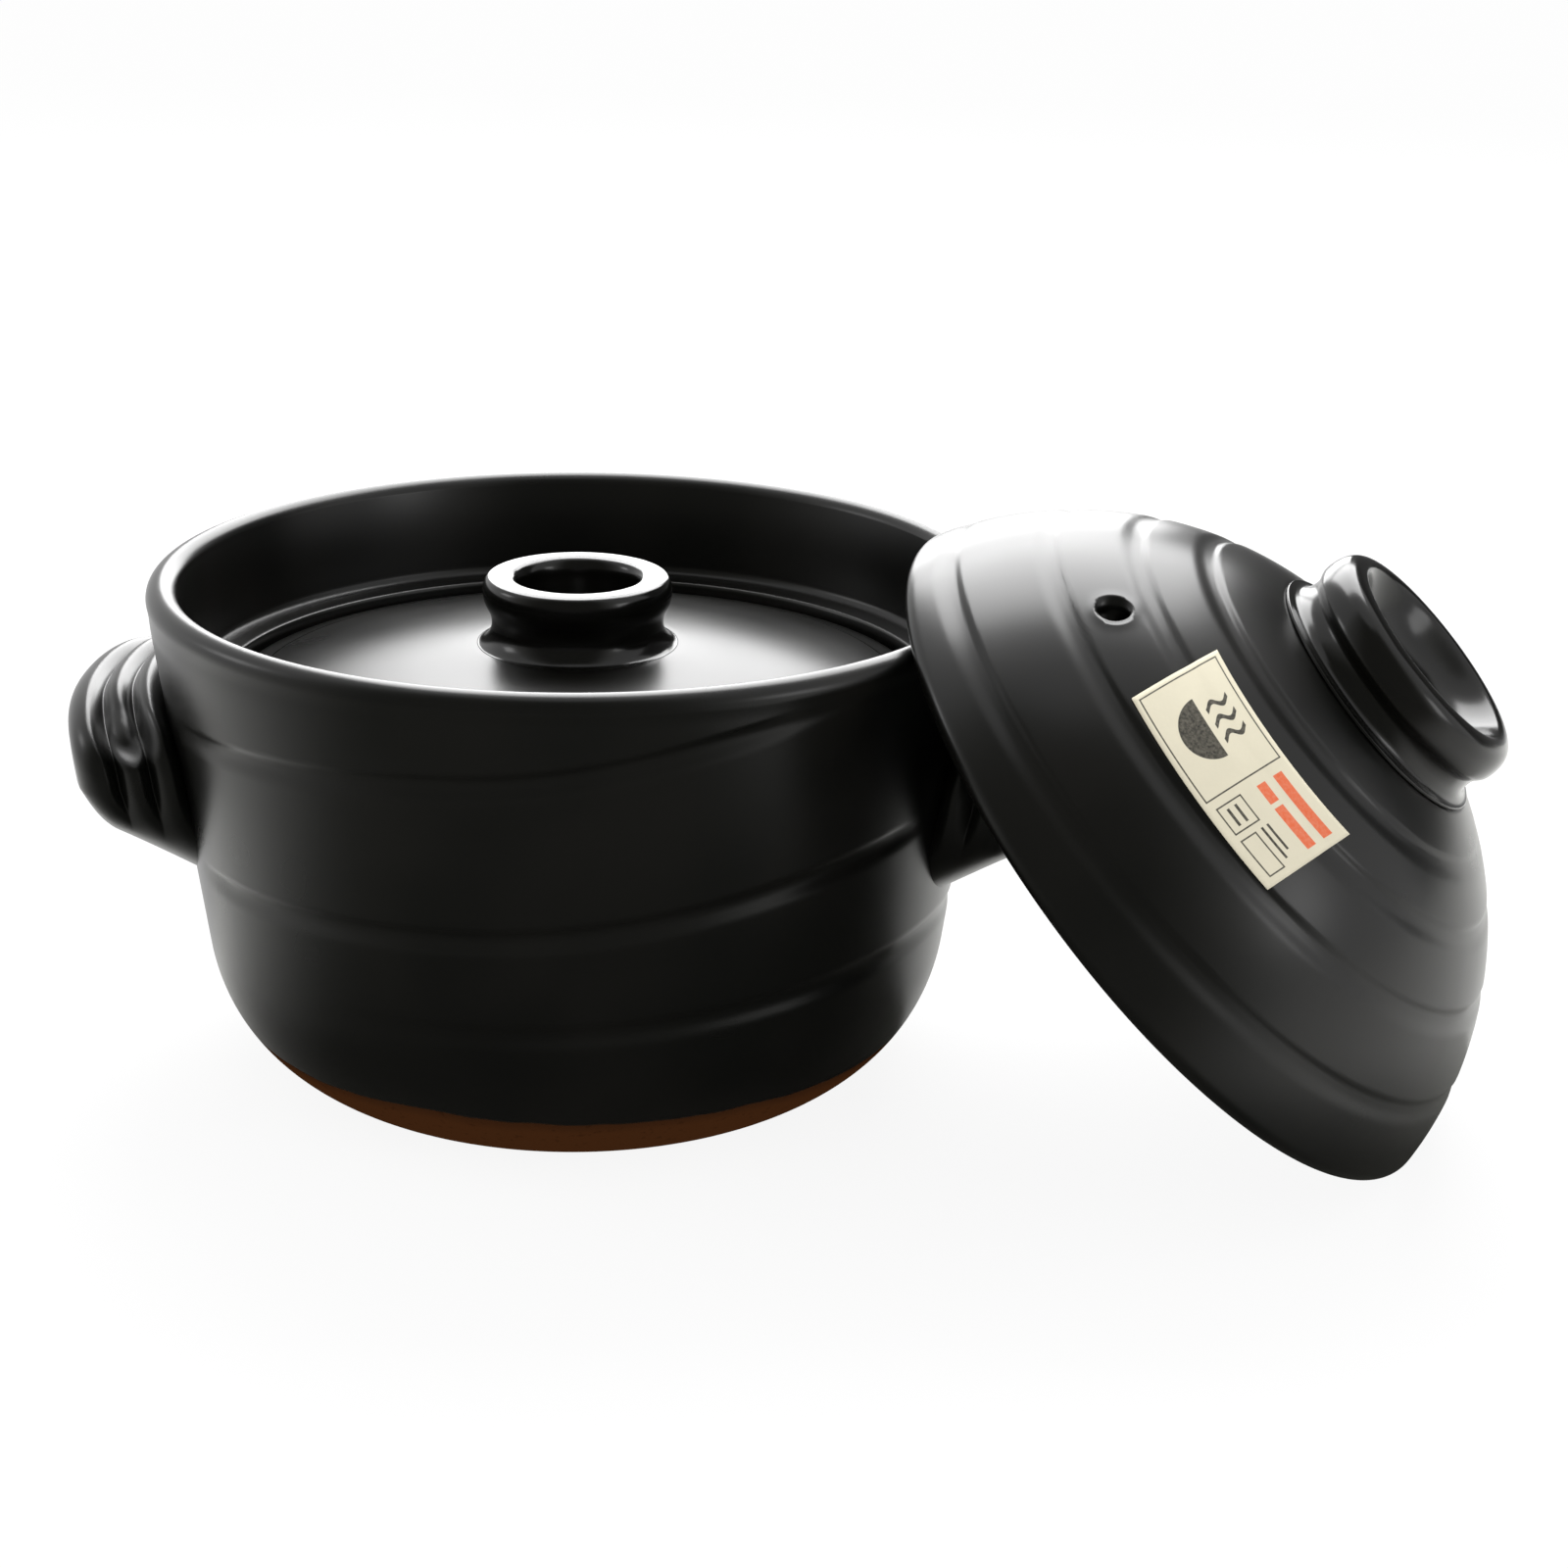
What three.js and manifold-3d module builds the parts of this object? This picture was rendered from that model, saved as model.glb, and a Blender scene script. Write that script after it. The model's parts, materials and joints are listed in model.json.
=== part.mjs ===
// A thrown stoneware rice pot with two lids, in millimetres with +Z up.
// The pot stands on the origin with its ears along X. A flat inner lid with a ring knob sits in the
// mouth, and the domed outer lid leans on the pot's lip with the edge of its rim on the table.

import * as THREE from 'three';
import { mergeVertices } from 'three/addons/utils/BufferGeometryUtils.js';
import Module from 'manifold-3d';

const wasm = await Module();
wasm.setup();

const { clamp, degToRad, euclideanModulo, lerp, smoothstep } = THREE.MathUtils;

// Pot, outside
const RIM_RADIUS = 103;
const POT_HEIGHT = 124;
const LIP_BEAD = 3.7;
const LIP_WRAP = degToRad(22.5);
const NECK_DROP = 12;
const NECK_DEPTH = 1;
const WALL_FLARE = 11.6;
const BOWL_HEIGHT = 34;
const FOOT_INSET = 25.4;
const FOOT_RISE = degToRad(24);
const FOOT_PULL = 18;
const WALL_PULL = 13;

// Pot, inside: a collar for the outer lid, a ledge that carries it and a lower seat for the inner lid
const COLLAR_WALL = 8.5;
const LEDGE_DROP = 26.5;
const LEDGE_WIDTH = 7.9;
const LEDGE_FILLET = 2.5;
const SEAT_DROP = 9;
const SEAT_WIDTH = 7.6;
const SEAT_LIP = 3;
const COVE_WALL = 13.5;
const COVE_HEIGHT = 10;
const BOWL_WALL = 9;
const BASE_THICKNESS = 9;
const FLOOR_ROUND = 31;

// Spiral finger groove of the throwing, which climbs faster turn by turn and fades out at the ears
const POT_GROOVE_DEPTH = 1.1;
const POT_GROOVE_HALF_WIDTH = 7;
const POT_GROOVE_START = 1;
const POT_GROOVE_RISE = 16;
const POT_GROOVE_GAIN = 6.8;
const POT_GROOVE_TURNS = 2.2;
const POT_GROOVE_AZIMUTH = degToRad(230);
const GROOVE_FADE_TURNS = 0.3;
const EAR_FADE_ANGLE = degToRad(15);
const EAR_FADE_DROP = 13;

// Ears: flat lugs that carry three strands side by side over their ends and top, pressed with the thumb
const EAR_DROP = 45.5;
const EAR_HALF_ANGLE = degToRad(26);
const EAR_OUT = 23.6;
const EAR_UP = 22.4;
const EAR_DOWN = 26.8;
const EAR_ROOT = 4;
const EAR_EDGE = 4.8;
const EAR_FULLNESS = 0.7;
const EAR_FACE_LEAN = 0.14;
const EAR_END_TAPER = 0.3;
const EAR_TOP_TAPER = 0.22;
const EAR_FOOT_TAPER = 0.6;
const STRAND_COUNT = 3;
const STRAND_PITCH = 7.4;
const STRAND_DEPTH = 2.6;
const STRAND_END_RISE = -0.35;
const STRAND_FULL_RISE = 0.1;
const THUMB_RISE = 6;
const THUMB_OUT = 9.5;
const THUMB_RADIUS = 9.5;
const THUMB_FLAT = 4;
const THUMB_DEPTH = 4.5;

// Inner lid
const INNER_LID_FIT = 1.6;
const INNER_LID_EDGE = 5.2;
const INNER_LID_ROUND = 1.3;
const INNER_LID_BEVEL = 12;
const INNER_LID_BEVEL_RISE = 4.2;
const INNER_LID_CROWN = 7.6;
const INNER_LID_CROWN_BELLY = 0.7;
const INNER_LID_WALL = 7;
const INNER_LID_HOLLOW_BELLY = 0.6;
const INNER_VENT_RADIUS = 4;

// Inner lid's knob: a ring on a flared foot
const INNER_KNOB_RING = 23;
const INNER_KNOB_BEAD = 3.7;
const INNER_KNOB_BEAD_WRAP = degToRad(30);
const INNER_KNOB_FLARE = 0.3;
const INNER_KNOB_WAIST_PULL = 3;
const INNER_KNOB_FOOT_EDGE = 1;
const INNER_KNOB_WELL_TAPER = 1.7;
const INNER_KNOB_HEIGHT = 16.6;
const INNER_KNOB_MARGIN = 0.7;

// Outer lid, in its own frame: the rim's lowest edge is at zero height
const LID_FIT = 2.1;
const LID_BEAD = 3.5;
const LID_LEAN_IN = degToRad(17);
const LID_RIM_PULL = 26.6;
const LID_CROWN_HEIGHT = 64;
const LID_CROWN_SLOPE = degToRad(18);
const LID_CROWN_PULL = 31;
const LID_GROOVE_DEPTH = 0.9;
const LID_GROOVE_HALF_WIDTH = 6;
const LID_GROOVE_START = 6.5;
const LID_GROOVE_RISE = 24.9;
const LID_GROOVE_GAIN = -1.5;
const LID_GROOVE_TURNS = 3.7;
const LID_GROOVE_AZIMUTH = degToRad(140);
const STEAM_HOLE_RADIUS = 4;
const STEAM_HOLE_AZIMUTH = degToRad(214.5);
const STEAM_HOLE_ARC = 43;

// Outer lid's knob: a flared ring with a dished top
const KNOB_RING = 30.2;
const KNOB_RING_HEIGHT = 10;
const KNOB_FOOT_FLARE = 2.2;
const KNOB_FOOT_EDGE = 0.8;
const KNOB_WAIST = 1.4;
const KNOB_WAIST_HEIGHT = 5.2;
const KNOB_LIP_INSET = 5.6;
const KNOB_LIP_RISE = 7;
const KNOB_DISH_INSET = 3.2;
const KNOB_DISH_DEPTH = 7;

// Paper label on the dome
const LABEL_LENGTH = 51;
const LABEL_WIDTH = 24.5;
const LABEL_THICKNESS = 0.4;
const LABEL_AZIMUTH = degToRad(254.5);
const LABEL_ARC = 50;

// Resting pose of the outer lid
const LID_TILT = degToRad(47.2);
const LEAN_AZIMUTH = degToRad(-11.85);

// Clearances
const JOIN_GAP = 0.3;
const LEAN_GAP = 0.4;

// Facets
const POT_SEGMENTS = 50;
const LID_SEGMENTS = 46;
const KNOB_SEGMENTS = 32;
const HOLE_SEGMENTS = 16;
const EAR_SEGMENTS = 36;
const STRAND_STEPS = 4;
const EDGE_STEPS = 3;
const BOWL_STEPS = 9;
const WALL_STEPS = 18;
const LIP_STEPS = 7;
const FILLET_STEPS = 3;
const FLOOR_STEPS = 6;
const PLATE_STEPS = 4;
const RING_STEPS = 7;
const FLANK_STEPS = 4;
const DOME_STEPS = 20;
const CEILING_STEPS = 8;
const RIM_STEPS = 6;
const LABEL_STEPS_ALONG = 10;
const LABEL_STEPS_ACROSS = 5;
const LEAN_STEPS = 14;
const MERGE_TOLERANCE = 1e-4;

const GLAZE = { color: 0x1b1a19, roughness: 0.38, metalness: 0 };
const PAPER = { color: 0xd8d2bd, roughness: 0.85, metalness: 0 };

// Values that follow from the sizes above
const BOWL_RADIUS = RIM_RADIUS - WALL_FLARE;
const FOOT_RADIUS = BOWL_RADIUS - FOOT_INSET;
const COLLAR_RADIUS = RIM_RADIUS - COLLAR_WALL;
const LEDGE_RADIUS = COLLAR_RADIUS - LEDGE_WIDTH;
const SEAT_RADIUS = LEDGE_RADIUS - SEAT_WIDTH;
const LEDGE_HEIGHT = POT_HEIGHT - LEDGE_DROP;
const SEAT_HEIGHT = LEDGE_HEIGHT - SEAT_DROP;
const EAR_HEIGHT = POT_HEIGHT - EAR_DROP;
const INNER_LID_RADIUS = LEDGE_RADIUS - INNER_LID_FIT;
const INNER_KNOB_BASE = INNER_KNOB_RING + INNER_KNOB_FLARE;
const LID_RADIUS = COLLAR_RADIUS - LID_FIT;
const LID_WALL = 2 * LID_BEAD;
const KNOB_FOOT = KNOB_RING + KNOB_FOOT_FLARE;

const point = (r, z) => new THREE.Vector2(r, z);

// A point that lies a distance along a direction, the direction measured from the outward radius
const reach = (from, angle, distance) =>
  point(from.x + distance * Math.cos(angle), from.y + distance * Math.sin(angle));

function arc(centre, radius, start, end, steps) {
  const clockwise = end < start;
  return new THREE.EllipseCurve(centre.x, centre.y, radius, radius, start, end, clockwise).getPoints(steps);
}

// A profile spun about the vertical axis
function spin(profile, segments) {
  return new THREE.LatheGeometry(profile, segments).rotateX(Math.PI / 2);
}

// A closed geometry with its shared corners merged and its collapsed triangles dropped
function welded(geometry) {
  const bare = geometry.clone();
  bare.deleteAttribute('normal');
  bare.deleteAttribute('uv');
  const merged = mergeVertices(bare, MERGE_TOLERANCE);
  const corners = merged.index.array;
  const kept = [];
  for (let i = 0; i < corners.length; i += 3) {
    const [a, b, c] = corners.slice(i, i + 3);
    if (a !== b && b !== c && c !== a) {
      kept.push(a, b, c);
    }
  }
  merged.setIndex(kept);
  return merged;
}

function solidOf(geometry) {
  const closed = welded(geometry);
  return new wasm.Manifold(new wasm.Mesh({
    numProp: 3,
    vertProperties: new Float32Array(closed.attributes.position.array),
    triVerts: new Uint32Array(closed.index.array),
  }));
}

function geometryOf(solid) {
  const { vertProperties, triVerts } = solid.getMesh();
  const geometry = new THREE.BufferGeometry();
  geometry.setAttribute('position', new THREE.BufferAttribute(vertProperties, 3));
  geometry.setIndex(new THREE.BufferAttribute(triVerts, 1));
  return geometry;
}

function piece(name, geometry, look) {
  const mesh = new THREE.Mesh(welded(geometry), new THREE.MeshStandardMaterial(look));
  mesh.name = name;
  return mesh;
}

// Depth of a spiral finger groove at a distance along a profile, its ends fading out
function spiralDepth(groove, azimuth, distance) {
  const lead = euclideanModulo((azimuth - groove.azimuth) / (2 * Math.PI), 1);
  let deepest = 0;
  for (let turn = lead; turn < groove.turns; turn += 1) {
    const middle = groove.start + groove.rise * turn + groove.gain * turn ** 2;
    const aside = Math.min(1, Math.abs(distance - middle) / groove.halfWidth);
    const begun = smoothstep(turn, 0, GROOVE_FADE_TURNS);
    const ended = smoothstep(turn, groove.turns - GROOVE_FADE_TURNS, groove.turns);
    deepest = Math.max(deepest, groove.depth * begun * (1 - ended) * (1 + Math.cos(Math.PI * aside)) / 2);
  }
  return deepest;
}

// Presses a groove into the rows of a spun profile, square to the profile
function press(geometry, profile, firstRow, lastRow, depthAt) {
  const at = geometry.attributes.position;
  for (let i = 0; i < at.count; i += 1) {
    const row = i % profile.length;
    if (row < firstRow || row > lastRow) {
      continue;
    }
    const along = profile[row + 1].clone().sub(profile[row - 1]).normalize();
    const azimuth = Math.atan2(at.getY(i), at.getX(i));
    const depth = depthAt(azimuth, row);
    const radius = profile[row].x - depth * along.y;
    at.setXYZ(i, radius * Math.cos(azimuth), radius * Math.sin(azimuth), profile[row].y + depth * along.x);
  }
  return geometry;
}

// Pot: foot, bowl, flared wall and a beaded lip outside; collar, ledge, seat and cavity inside
const neck = point(RIM_RADIUS - NECK_DEPTH, POT_HEIGHT - NECK_DROP);
const bowlTop = point(BOWL_RADIUS, BOWL_HEIGHT);
const wallAngle = Math.atan2(neck.y - bowlTop.y, neck.x - bowlTop.x);
const wallRadius = (z) => bowlTop.x + (z - bowlTop.y) / Math.tan(wallAngle);

// The outside from the foot's edge to the lip's inner edge, moved out by a clearance
function potOutside(clearance) {
  const foot = point(FOOT_RADIUS, 0);
  const bowl = new THREE.CubicBezierCurve(
    foot,
    reach(foot, FOOT_RISE, FOOT_PULL),
    reach(bowlTop, wallAngle + Math.PI, WALL_PULL),
    bowlTop,
  );
  const wall = new THREE.LineCurve(bowlTop, neck);
  const lipCentre = point(RIM_RADIUS - LIP_BEAD, POT_HEIGHT - LIP_BEAD);
  const lip = arc(lipCentre, LIP_BEAD, -LIP_WRAP, Math.PI + LIP_WRAP, LIP_STEPS);
  const outline = [...bowl.getPoints(BOWL_STEPS), ...wall.getPoints(WALL_STEPS).slice(1), ...lip];
  return outline.map((p) => point(p.x + clearance, p.y));
}

function potInside() {
  const filletCentre = point(COLLAR_RADIUS - LEDGE_FILLET, LEDGE_HEIGHT + LEDGE_FILLET);
  const coveFoot = SEAT_HEIGHT - SEAT_LIP - COVE_HEIGHT;
  const bowlSide = point(BOWL_RADIUS - BOWL_WALL, BOWL_HEIGHT);
  const bowl = new THREE.QuadraticBezierCurve(
    bowlSide,
    point(bowlSide.x, BASE_THICKNESS),
    point(bowlSide.x - FLOOR_ROUND, BASE_THICKNESS),
  );
  return [
    ...arc(filletCentre, LEDGE_FILLET, 0, -Math.PI / 2, FILLET_STEPS),
    point(LEDGE_RADIUS, LEDGE_HEIGHT),
    point(LEDGE_RADIUS, SEAT_HEIGHT),
    point(SEAT_RADIUS, SEAT_HEIGHT),
    point(SEAT_RADIUS, SEAT_HEIGHT - SEAT_LIP),
    point(wallRadius(coveFoot) - COVE_WALL, coveFoot),
    ...bowl.getPoints(FLOOR_STEPS),
  ];
}

function potGeometry() {
  const profile = [point(0, 0), ...potOutside(0), ...potInside(), point(0, BASE_THICKNESS)];
  const groove = {
    azimuth: POT_GROOVE_AZIMUTH,
    start: BOWL_HEIGHT + POT_GROOVE_START,
    rise: POT_GROOVE_RISE,
    gain: POT_GROOVE_GAIN,
    turns: POT_GROOVE_TURNS,
    depth: POT_GROOVE_DEPTH,
    halfWidth: POT_GROOVE_HALF_WIDTH,
  };
  const earFoot = EAR_HEIGHT - EAR_DOWN;
  const depthAt = (azimuth, row) => {
    const height = profile[row].y;
    const fromEar = Math.asin(Math.abs(Math.sin(azimuth)));
    const beside = smoothstep(fromEar, EAR_HALF_ANGLE, EAR_HALF_ANGLE + EAR_FADE_ANGLE);
    const below = 1 - smoothstep(height, earFoot - EAR_FADE_DROP, earFoot);
    return Math.max(beside, below) * spiralDepth(groove, azimuth, height);
  };
  const firstRow = 2;
  const lastRow = BOWL_STEPS + WALL_STEPS;
  return press(spin(profile, POT_SEGMENTS), profile, firstRow, lastRow, depthAt);
}

// Ears: rows from the root inside the wall, over the strands and the round edge, to the face's middle.
// Each row has its share of the ear's outline, its distance from the wall and how far it stands in
function earRows() {
  const rows = [0, 1].map((share) => ({ share, out: -EAR_ROOT, groove: 0, edge: 0 }));
  const crestSteps = STRAND_STEPS * (STRAND_COUNT - 1 / 2);
  for (let i = 0; i <= crestSteps; i += 1) {
    const groove = 1 - Math.abs(Math.sin((Math.PI * i) / STRAND_STEPS));
    rows.push({ share: 1, out: (STRAND_PITCH * i) / STRAND_STEPS, groove, edge: 0 });
  }
  const crest = rows.at(-1).out;
  for (let i = 1; i <= EDGE_STEPS; i += 1) {
    const turn = (Math.PI / 2) * (i / EDGE_STEPS);
    const out = lerp(crest, EAR_OUT, Math.sin(turn));
    rows.push({ share: 1, out, groove: 0, edge: EAR_EDGE * (1 - Math.cos(turn)) });
  }
  return [...rows, { share: 0, out: EAR_OUT, groove: 0, edge: EAR_EDGE }];
}

// A sine or cosine drawn towards its limits, which turns a circle into a rounded oblong
const blunt = (value) => Math.sign(value) * Math.abs(value) ** EAR_FULLNESS;

// How hard the thumb has pressed a place on the ear's end, from none to full
function thumbPress(rise, out) {
  return 1 - smoothstep(Math.hypot(rise - THUMB_RISE, out - THUMB_OUT), THUMB_FLAT, THUMB_RADIUS);
}

function earGeometry(facing) {
  const rows = earRows();
  const lug = new THREE.LatheGeometry(rows.map((row) => point(row.share, row.out)), EAR_SEGMENTS);
  const at = lug.attributes.position;
  for (let i = 0; i < at.count; i += 1) {
    const { share, out, groove, edge } = rows[i % rows.length];
    const turn = (2 * Math.PI * Math.floor(i / rows.length)) / EAR_SEGMENTS;
    const side = blunt(Math.cos(turn));
    const lift = blunt(Math.sin(turn));
    const stranded = smoothstep(lift, STRAND_END_RISE, STRAND_FULL_RISE);
    const inset = edge + STRAND_DEPTH * groove * stranded;
    const slope = lift > 0 ? EAR_TOP_TAPER : EAR_FOOT_TAPER;
    const rise = share * lift * ((lift > 0 ? EAR_UP : EAR_DOWN) - inset - slope * out);
    const dent = THUMB_DEPTH * thumbPress(rise, out);
    const shortened = (inset + dent + EAR_END_TAPER * out) / RIM_RADIUS;
    const azimuth = facing + share * side * (EAR_HALF_ANGLE - shortened);
    const height = EAR_HEIGHT + rise;
    const lean = 1 + EAR_FACE_LEAN * Math.min(0, share * lift);
    const radius = wallRadius(height) + out * lean;
    at.setXYZ(i, radius * Math.cos(azimuth), radius * Math.sin(azimuth), height);
  }
  const top = POT_HEIGHT + RIM_RADIUS;
  const bulk = potOutside(JOIN_GAP);
  const clearing = spin([point(0, 0), ...bulk, point(bulk.at(-1).x, top), point(0, top)], POT_SEGMENTS);
  return geometryOf(solidOf(lug).subtract(solidOf(clearing)));
}

// Inner lid: a crowned plate with a bevelled edge, a flat seat under its rim and a vent in the middle
const innerLidFoot = SEAT_HEIGHT + JOIN_GAP;
const innerLidShoulder = innerLidFoot + INNER_LID_EDGE + INNER_LID_BEVEL_RISE;
const innerKnobSeat = innerLidShoulder + INNER_LID_CROWN;

function innerLidGeometry() {
  const edgeTop = innerLidFoot + INNER_LID_EDGE;
  const ceiling = innerKnobSeat - INNER_LID_WALL;
  const bevelInner = INNER_LID_RADIUS - INNER_LID_BEVEL;
  const knobEdge = INNER_KNOB_BASE + INNER_KNOB_MARGIN;
  const hollowEdge = SEAT_RADIUS - INNER_LID_FIT;
  const crown = new THREE.QuadraticBezierCurve(
    point(bevelInner, innerLidShoulder),
    point((bevelInner + knobEdge) / 2, lerp(innerLidShoulder, innerKnobSeat, INNER_LID_CROWN_BELLY)),
    point(knobEdge, innerKnobSeat),
  );
  const hollow = new THREE.QuadraticBezierCurve(
    point(INNER_VENT_RADIUS, ceiling),
    point(lerp(INNER_VENT_RADIUS, hollowEdge, INNER_LID_HOLLOW_BELLY), ceiling),
    point(hollowEdge, innerLidFoot),
  );
  const profile = [
    ...hollow.getPoints(PLATE_STEPS),
    point(INNER_LID_RADIUS - INNER_LID_ROUND, innerLidFoot),
    point(INNER_LID_RADIUS, innerLidFoot + INNER_LID_ROUND),
    point(INNER_LID_RADIUS, edgeTop - INNER_LID_ROUND),
    point(INNER_LID_RADIUS - INNER_LID_ROUND, edgeTop),
    ...crown.getPoints(PLATE_STEPS),
    point(INNER_VENT_RADIUS, innerKnobSeat),
    point(INNER_VENT_RADIUS, ceiling),
  ];
  return spin(profile, LID_SEGMENTS);
}

function innerKnobGeometry() {
  const foot = innerKnobSeat + JOIN_GAP;
  const footTop = foot + INNER_KNOB_FOOT_EDGE;
  const beadCentre = point(INNER_KNOB_RING - INNER_KNOB_BEAD, foot + INNER_KNOB_HEIGHT - INNER_KNOB_BEAD);
  const ring = arc(beadCentre, INNER_KNOB_BEAD, -INNER_KNOB_BEAD_WRAP, Math.PI, RING_STEPS);
  const flank = new THREE.QuadraticBezierCurve(
    point(INNER_KNOB_BASE, footTop),
    point(INNER_KNOB_RING - INNER_KNOB_WAIST_PULL, footTop),
    ring[0],
  );
  const well = point(beadCentre.x - INNER_KNOB_BEAD - INNER_KNOB_WELL_TAPER, foot);
  const profile = [
    well,
    point(INNER_KNOB_BASE, foot),
    ...flank.getPoints(FLANK_STEPS),
    ...ring.slice(1),
    well,
  ];
  return spin(profile, KNOB_SEGMENTS);
}

// Outer lid: one wall of even thickness from the rounded rim to a flat seat for the knob
const lidBeadCentre = point(LID_RADIUS - LID_BEAD, LID_BEAD);
const domeStart = reach(lidBeadCentre, LID_LEAN_IN, LID_BEAD);
const domeEnd = point(KNOB_FOOT + JOIN_GAP, LID_CROWN_HEIGHT);
const dome = new THREE.CubicBezierCurve(
  domeStart,
  reach(domeStart, LID_LEAN_IN + Math.PI / 2, LID_RIM_PULL),
  reach(domeEnd, -LID_CROWN_SLOPE, LID_CROWN_PULL),
  domeEnd,
);

// A place on the dome, given along its profile from the rim, with the outward normal there
function onDome(distance) {
  const share = clamp(distance / dome.getLength(), 0, 1);
  const along = dome.getTangentAt(share);
  return { spot: dome.getPointAt(share), normal: point(along.y, -along.x) };
}

function lidGeometry() {
  const inner = [];
  for (let i = CEILING_STEPS; i > 0; i -= 1) {
    const { spot, normal } = onDome((i / CEILING_STEPS) * dome.getLength());
    inner.push(spot.addScaledVector(normal, -LID_WALL));
  }
  const rim = arc(lidBeadCentre, LID_BEAD, LID_LEAN_IN - Math.PI, LID_LEAN_IN, RIM_STEPS);
  const outer = dome.getSpacedPoints(DOME_STEPS).slice(1);
  const ceiling = point(0, LID_CROWN_HEIGHT - LID_WALL);
  const profile = [ceiling, ...inner, ...rim, ...outer, point(0, LID_CROWN_HEIGHT)];
  const firstRow = 1 + inner.length + rim.length;
  const lastRow = firstRow + outer.length - 2;
  const groove = {
    azimuth: LID_GROOVE_AZIMUTH,
    start: LID_GROOVE_START,
    rise: LID_GROOVE_RISE,
    gain: LID_GROOVE_GAIN,
    turns: LID_GROOVE_TURNS,
    depth: LID_GROOVE_DEPTH,
    halfWidth: LID_GROOVE_HALF_WIDTH,
  };
  const spacing = dome.getLength() / DOME_STEPS;
  const depthAt = (azimuth, row) => spiralDepth(groove, azimuth, (row - firstRow + 1) * spacing);
  const body = press(spin(profile, LID_SEGMENTS), profile, firstRow, lastRow, depthAt);
  return geometryOf(solidOf(body).subtract(solidOf(steamHole())));
}

function steamHole() {
  const { spot, normal } = onDome(STEAM_HOLE_ARC);
  const length = 2 * (LID_WALL + STEAM_HOLE_RADIUS);
  const drill = new THREE.CylinderGeometry(STEAM_HOLE_RADIUS, STEAM_HOLE_RADIUS, length, HOLE_SEGMENTS);
  drill.rotateZ(Math.atan2(normal.y, normal.x) - Math.PI / 2);
  drill.translate(spot.x, spot.y, 0);
  drill.rotateX(Math.PI / 2);
  drill.rotateZ(STEAM_HOLE_AZIMUTH);
  return drill;
}

function knobGeometry() {
  const foot = LID_CROWN_HEIGHT + JOIN_GAP;
  const footTop = foot + KNOB_FOOT_EDGE;
  const waist = point(KNOB_RING - KNOB_WAIST, foot + KNOB_WAIST_HEIGHT);
  const ring = point(KNOB_RING, foot + KNOB_RING_HEIGHT);
  const lip = point(KNOB_RING - KNOB_LIP_INSET, ring.y + KNOB_LIP_RISE);
  const dishEdge = lip.x - KNOB_DISH_INSET;
  const dishFloor = lip.y - KNOB_DISH_DEPTH;
  const swellMiddle = (waist.y + ring.y) / 2;
  const stretches = [
    new THREE.QuadraticBezierCurve(point(KNOB_FOOT, footTop), point(waist.x, footTop), waist),
    new THREE.CubicBezierCurve(waist, point(waist.x, swellMiddle), point(ring.x, swellMiddle), ring),
    new THREE.QuadraticBezierCurve(ring, point(ring.x, lip.y), lip),
    new THREE.CubicBezierCurve(lip, point(dishEdge, lip.y), point(dishEdge, dishFloor), point(0, dishFloor)),
  ];
  const profile = [point(0, foot), point(KNOB_FOOT, foot), point(KNOB_FOOT, footTop)];
  stretches.forEach((stretch) => profile.push(...stretch.getPoints(FLANK_STEPS).slice(1)));
  return spin(profile, KNOB_SEGMENTS);
}

// Label: a thin sheet bent over the dome with its long side along the rim
function labelGeometry() {
  const sheet = new THREE.BoxGeometry(
    LABEL_LENGTH,
    LABEL_WIDTH,
    LABEL_THICKNESS,
    LABEL_STEPS_ALONG,
    LABEL_STEPS_ACROSS,
  );
  const at = sheet.attributes.position;
  for (let i = 0; i < at.count; i += 1) {
    const { spot, normal } = onDome(LABEL_ARC + at.getY(i));
    const azimuth = LABEL_AZIMUTH + at.getX(i) / spot.x;
    const lift = JOIN_GAP + LABEL_THICKNESS / 2 + at.getZ(i);
    const radius = spot.x + lift * normal.x;
    at.setXYZ(i, radius * Math.cos(azimuth), radius * Math.sin(azimuth), spot.y + lift * normal.y);
  }
  return sheet;
}

// The leaning lid's place: its rim's lowest edge on the table, its middle at a distance from the pot's axis
function leanMatrix(distance) {
  const height = lidBeadCentre.x * Math.sin(LID_TILT) + LID_BEAD * (1 - Math.cos(LID_TILT));
  const place = new THREE.Vector3(
    distance * Math.cos(LEAN_AZIMUTH),
    distance * Math.sin(LEAN_AZIMUTH),
    height,
  );
  const turn = new THREE.Quaternion().setFromEuler(new THREE.Euler(0, LID_TILT, LEAN_AZIMUTH, 'ZYX'));
  return new THREE.Matrix4().compose(place, turn, new THREE.Vector3(1, 1, 1));
}

// Slides the tilted lid towards the pot until it meets the first obstacle, then leaves a small gap
function leanDistance(lid, obstacles) {
  let touching = RIM_RADIUS;
  let clear = RIM_RADIUS + 2 * LID_RADIUS;
  for (let i = 0; i < LEAN_STEPS; i += 1) {
    const middle = (touching + clear) / 2;
    const leaning = solidOf(lid.clone().applyMatrix4(leanMatrix(middle)));
    if (obstacles.every((obstacle) => leaning.intersect(obstacle).isEmpty())) {
      clear = middle;
    } else {
      touching = middle;
    }
  }
  return clear + LEAN_GAP;
}

const pot = potGeometry();
const rightEar = earGeometry(0);
const leftEar = earGeometry(Math.PI);
const innerLid = innerLidGeometry();
const innerKnob = innerKnobGeometry();
const outerLid = lidGeometry();

const potGroup = new THREE.Group();
potGroup.add(
  piece('pot_body', pot, GLAZE),
  piece('handle_left', leftEar, GLAZE),
  piece('handle_right', rightEar, GLAZE),
);

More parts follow.
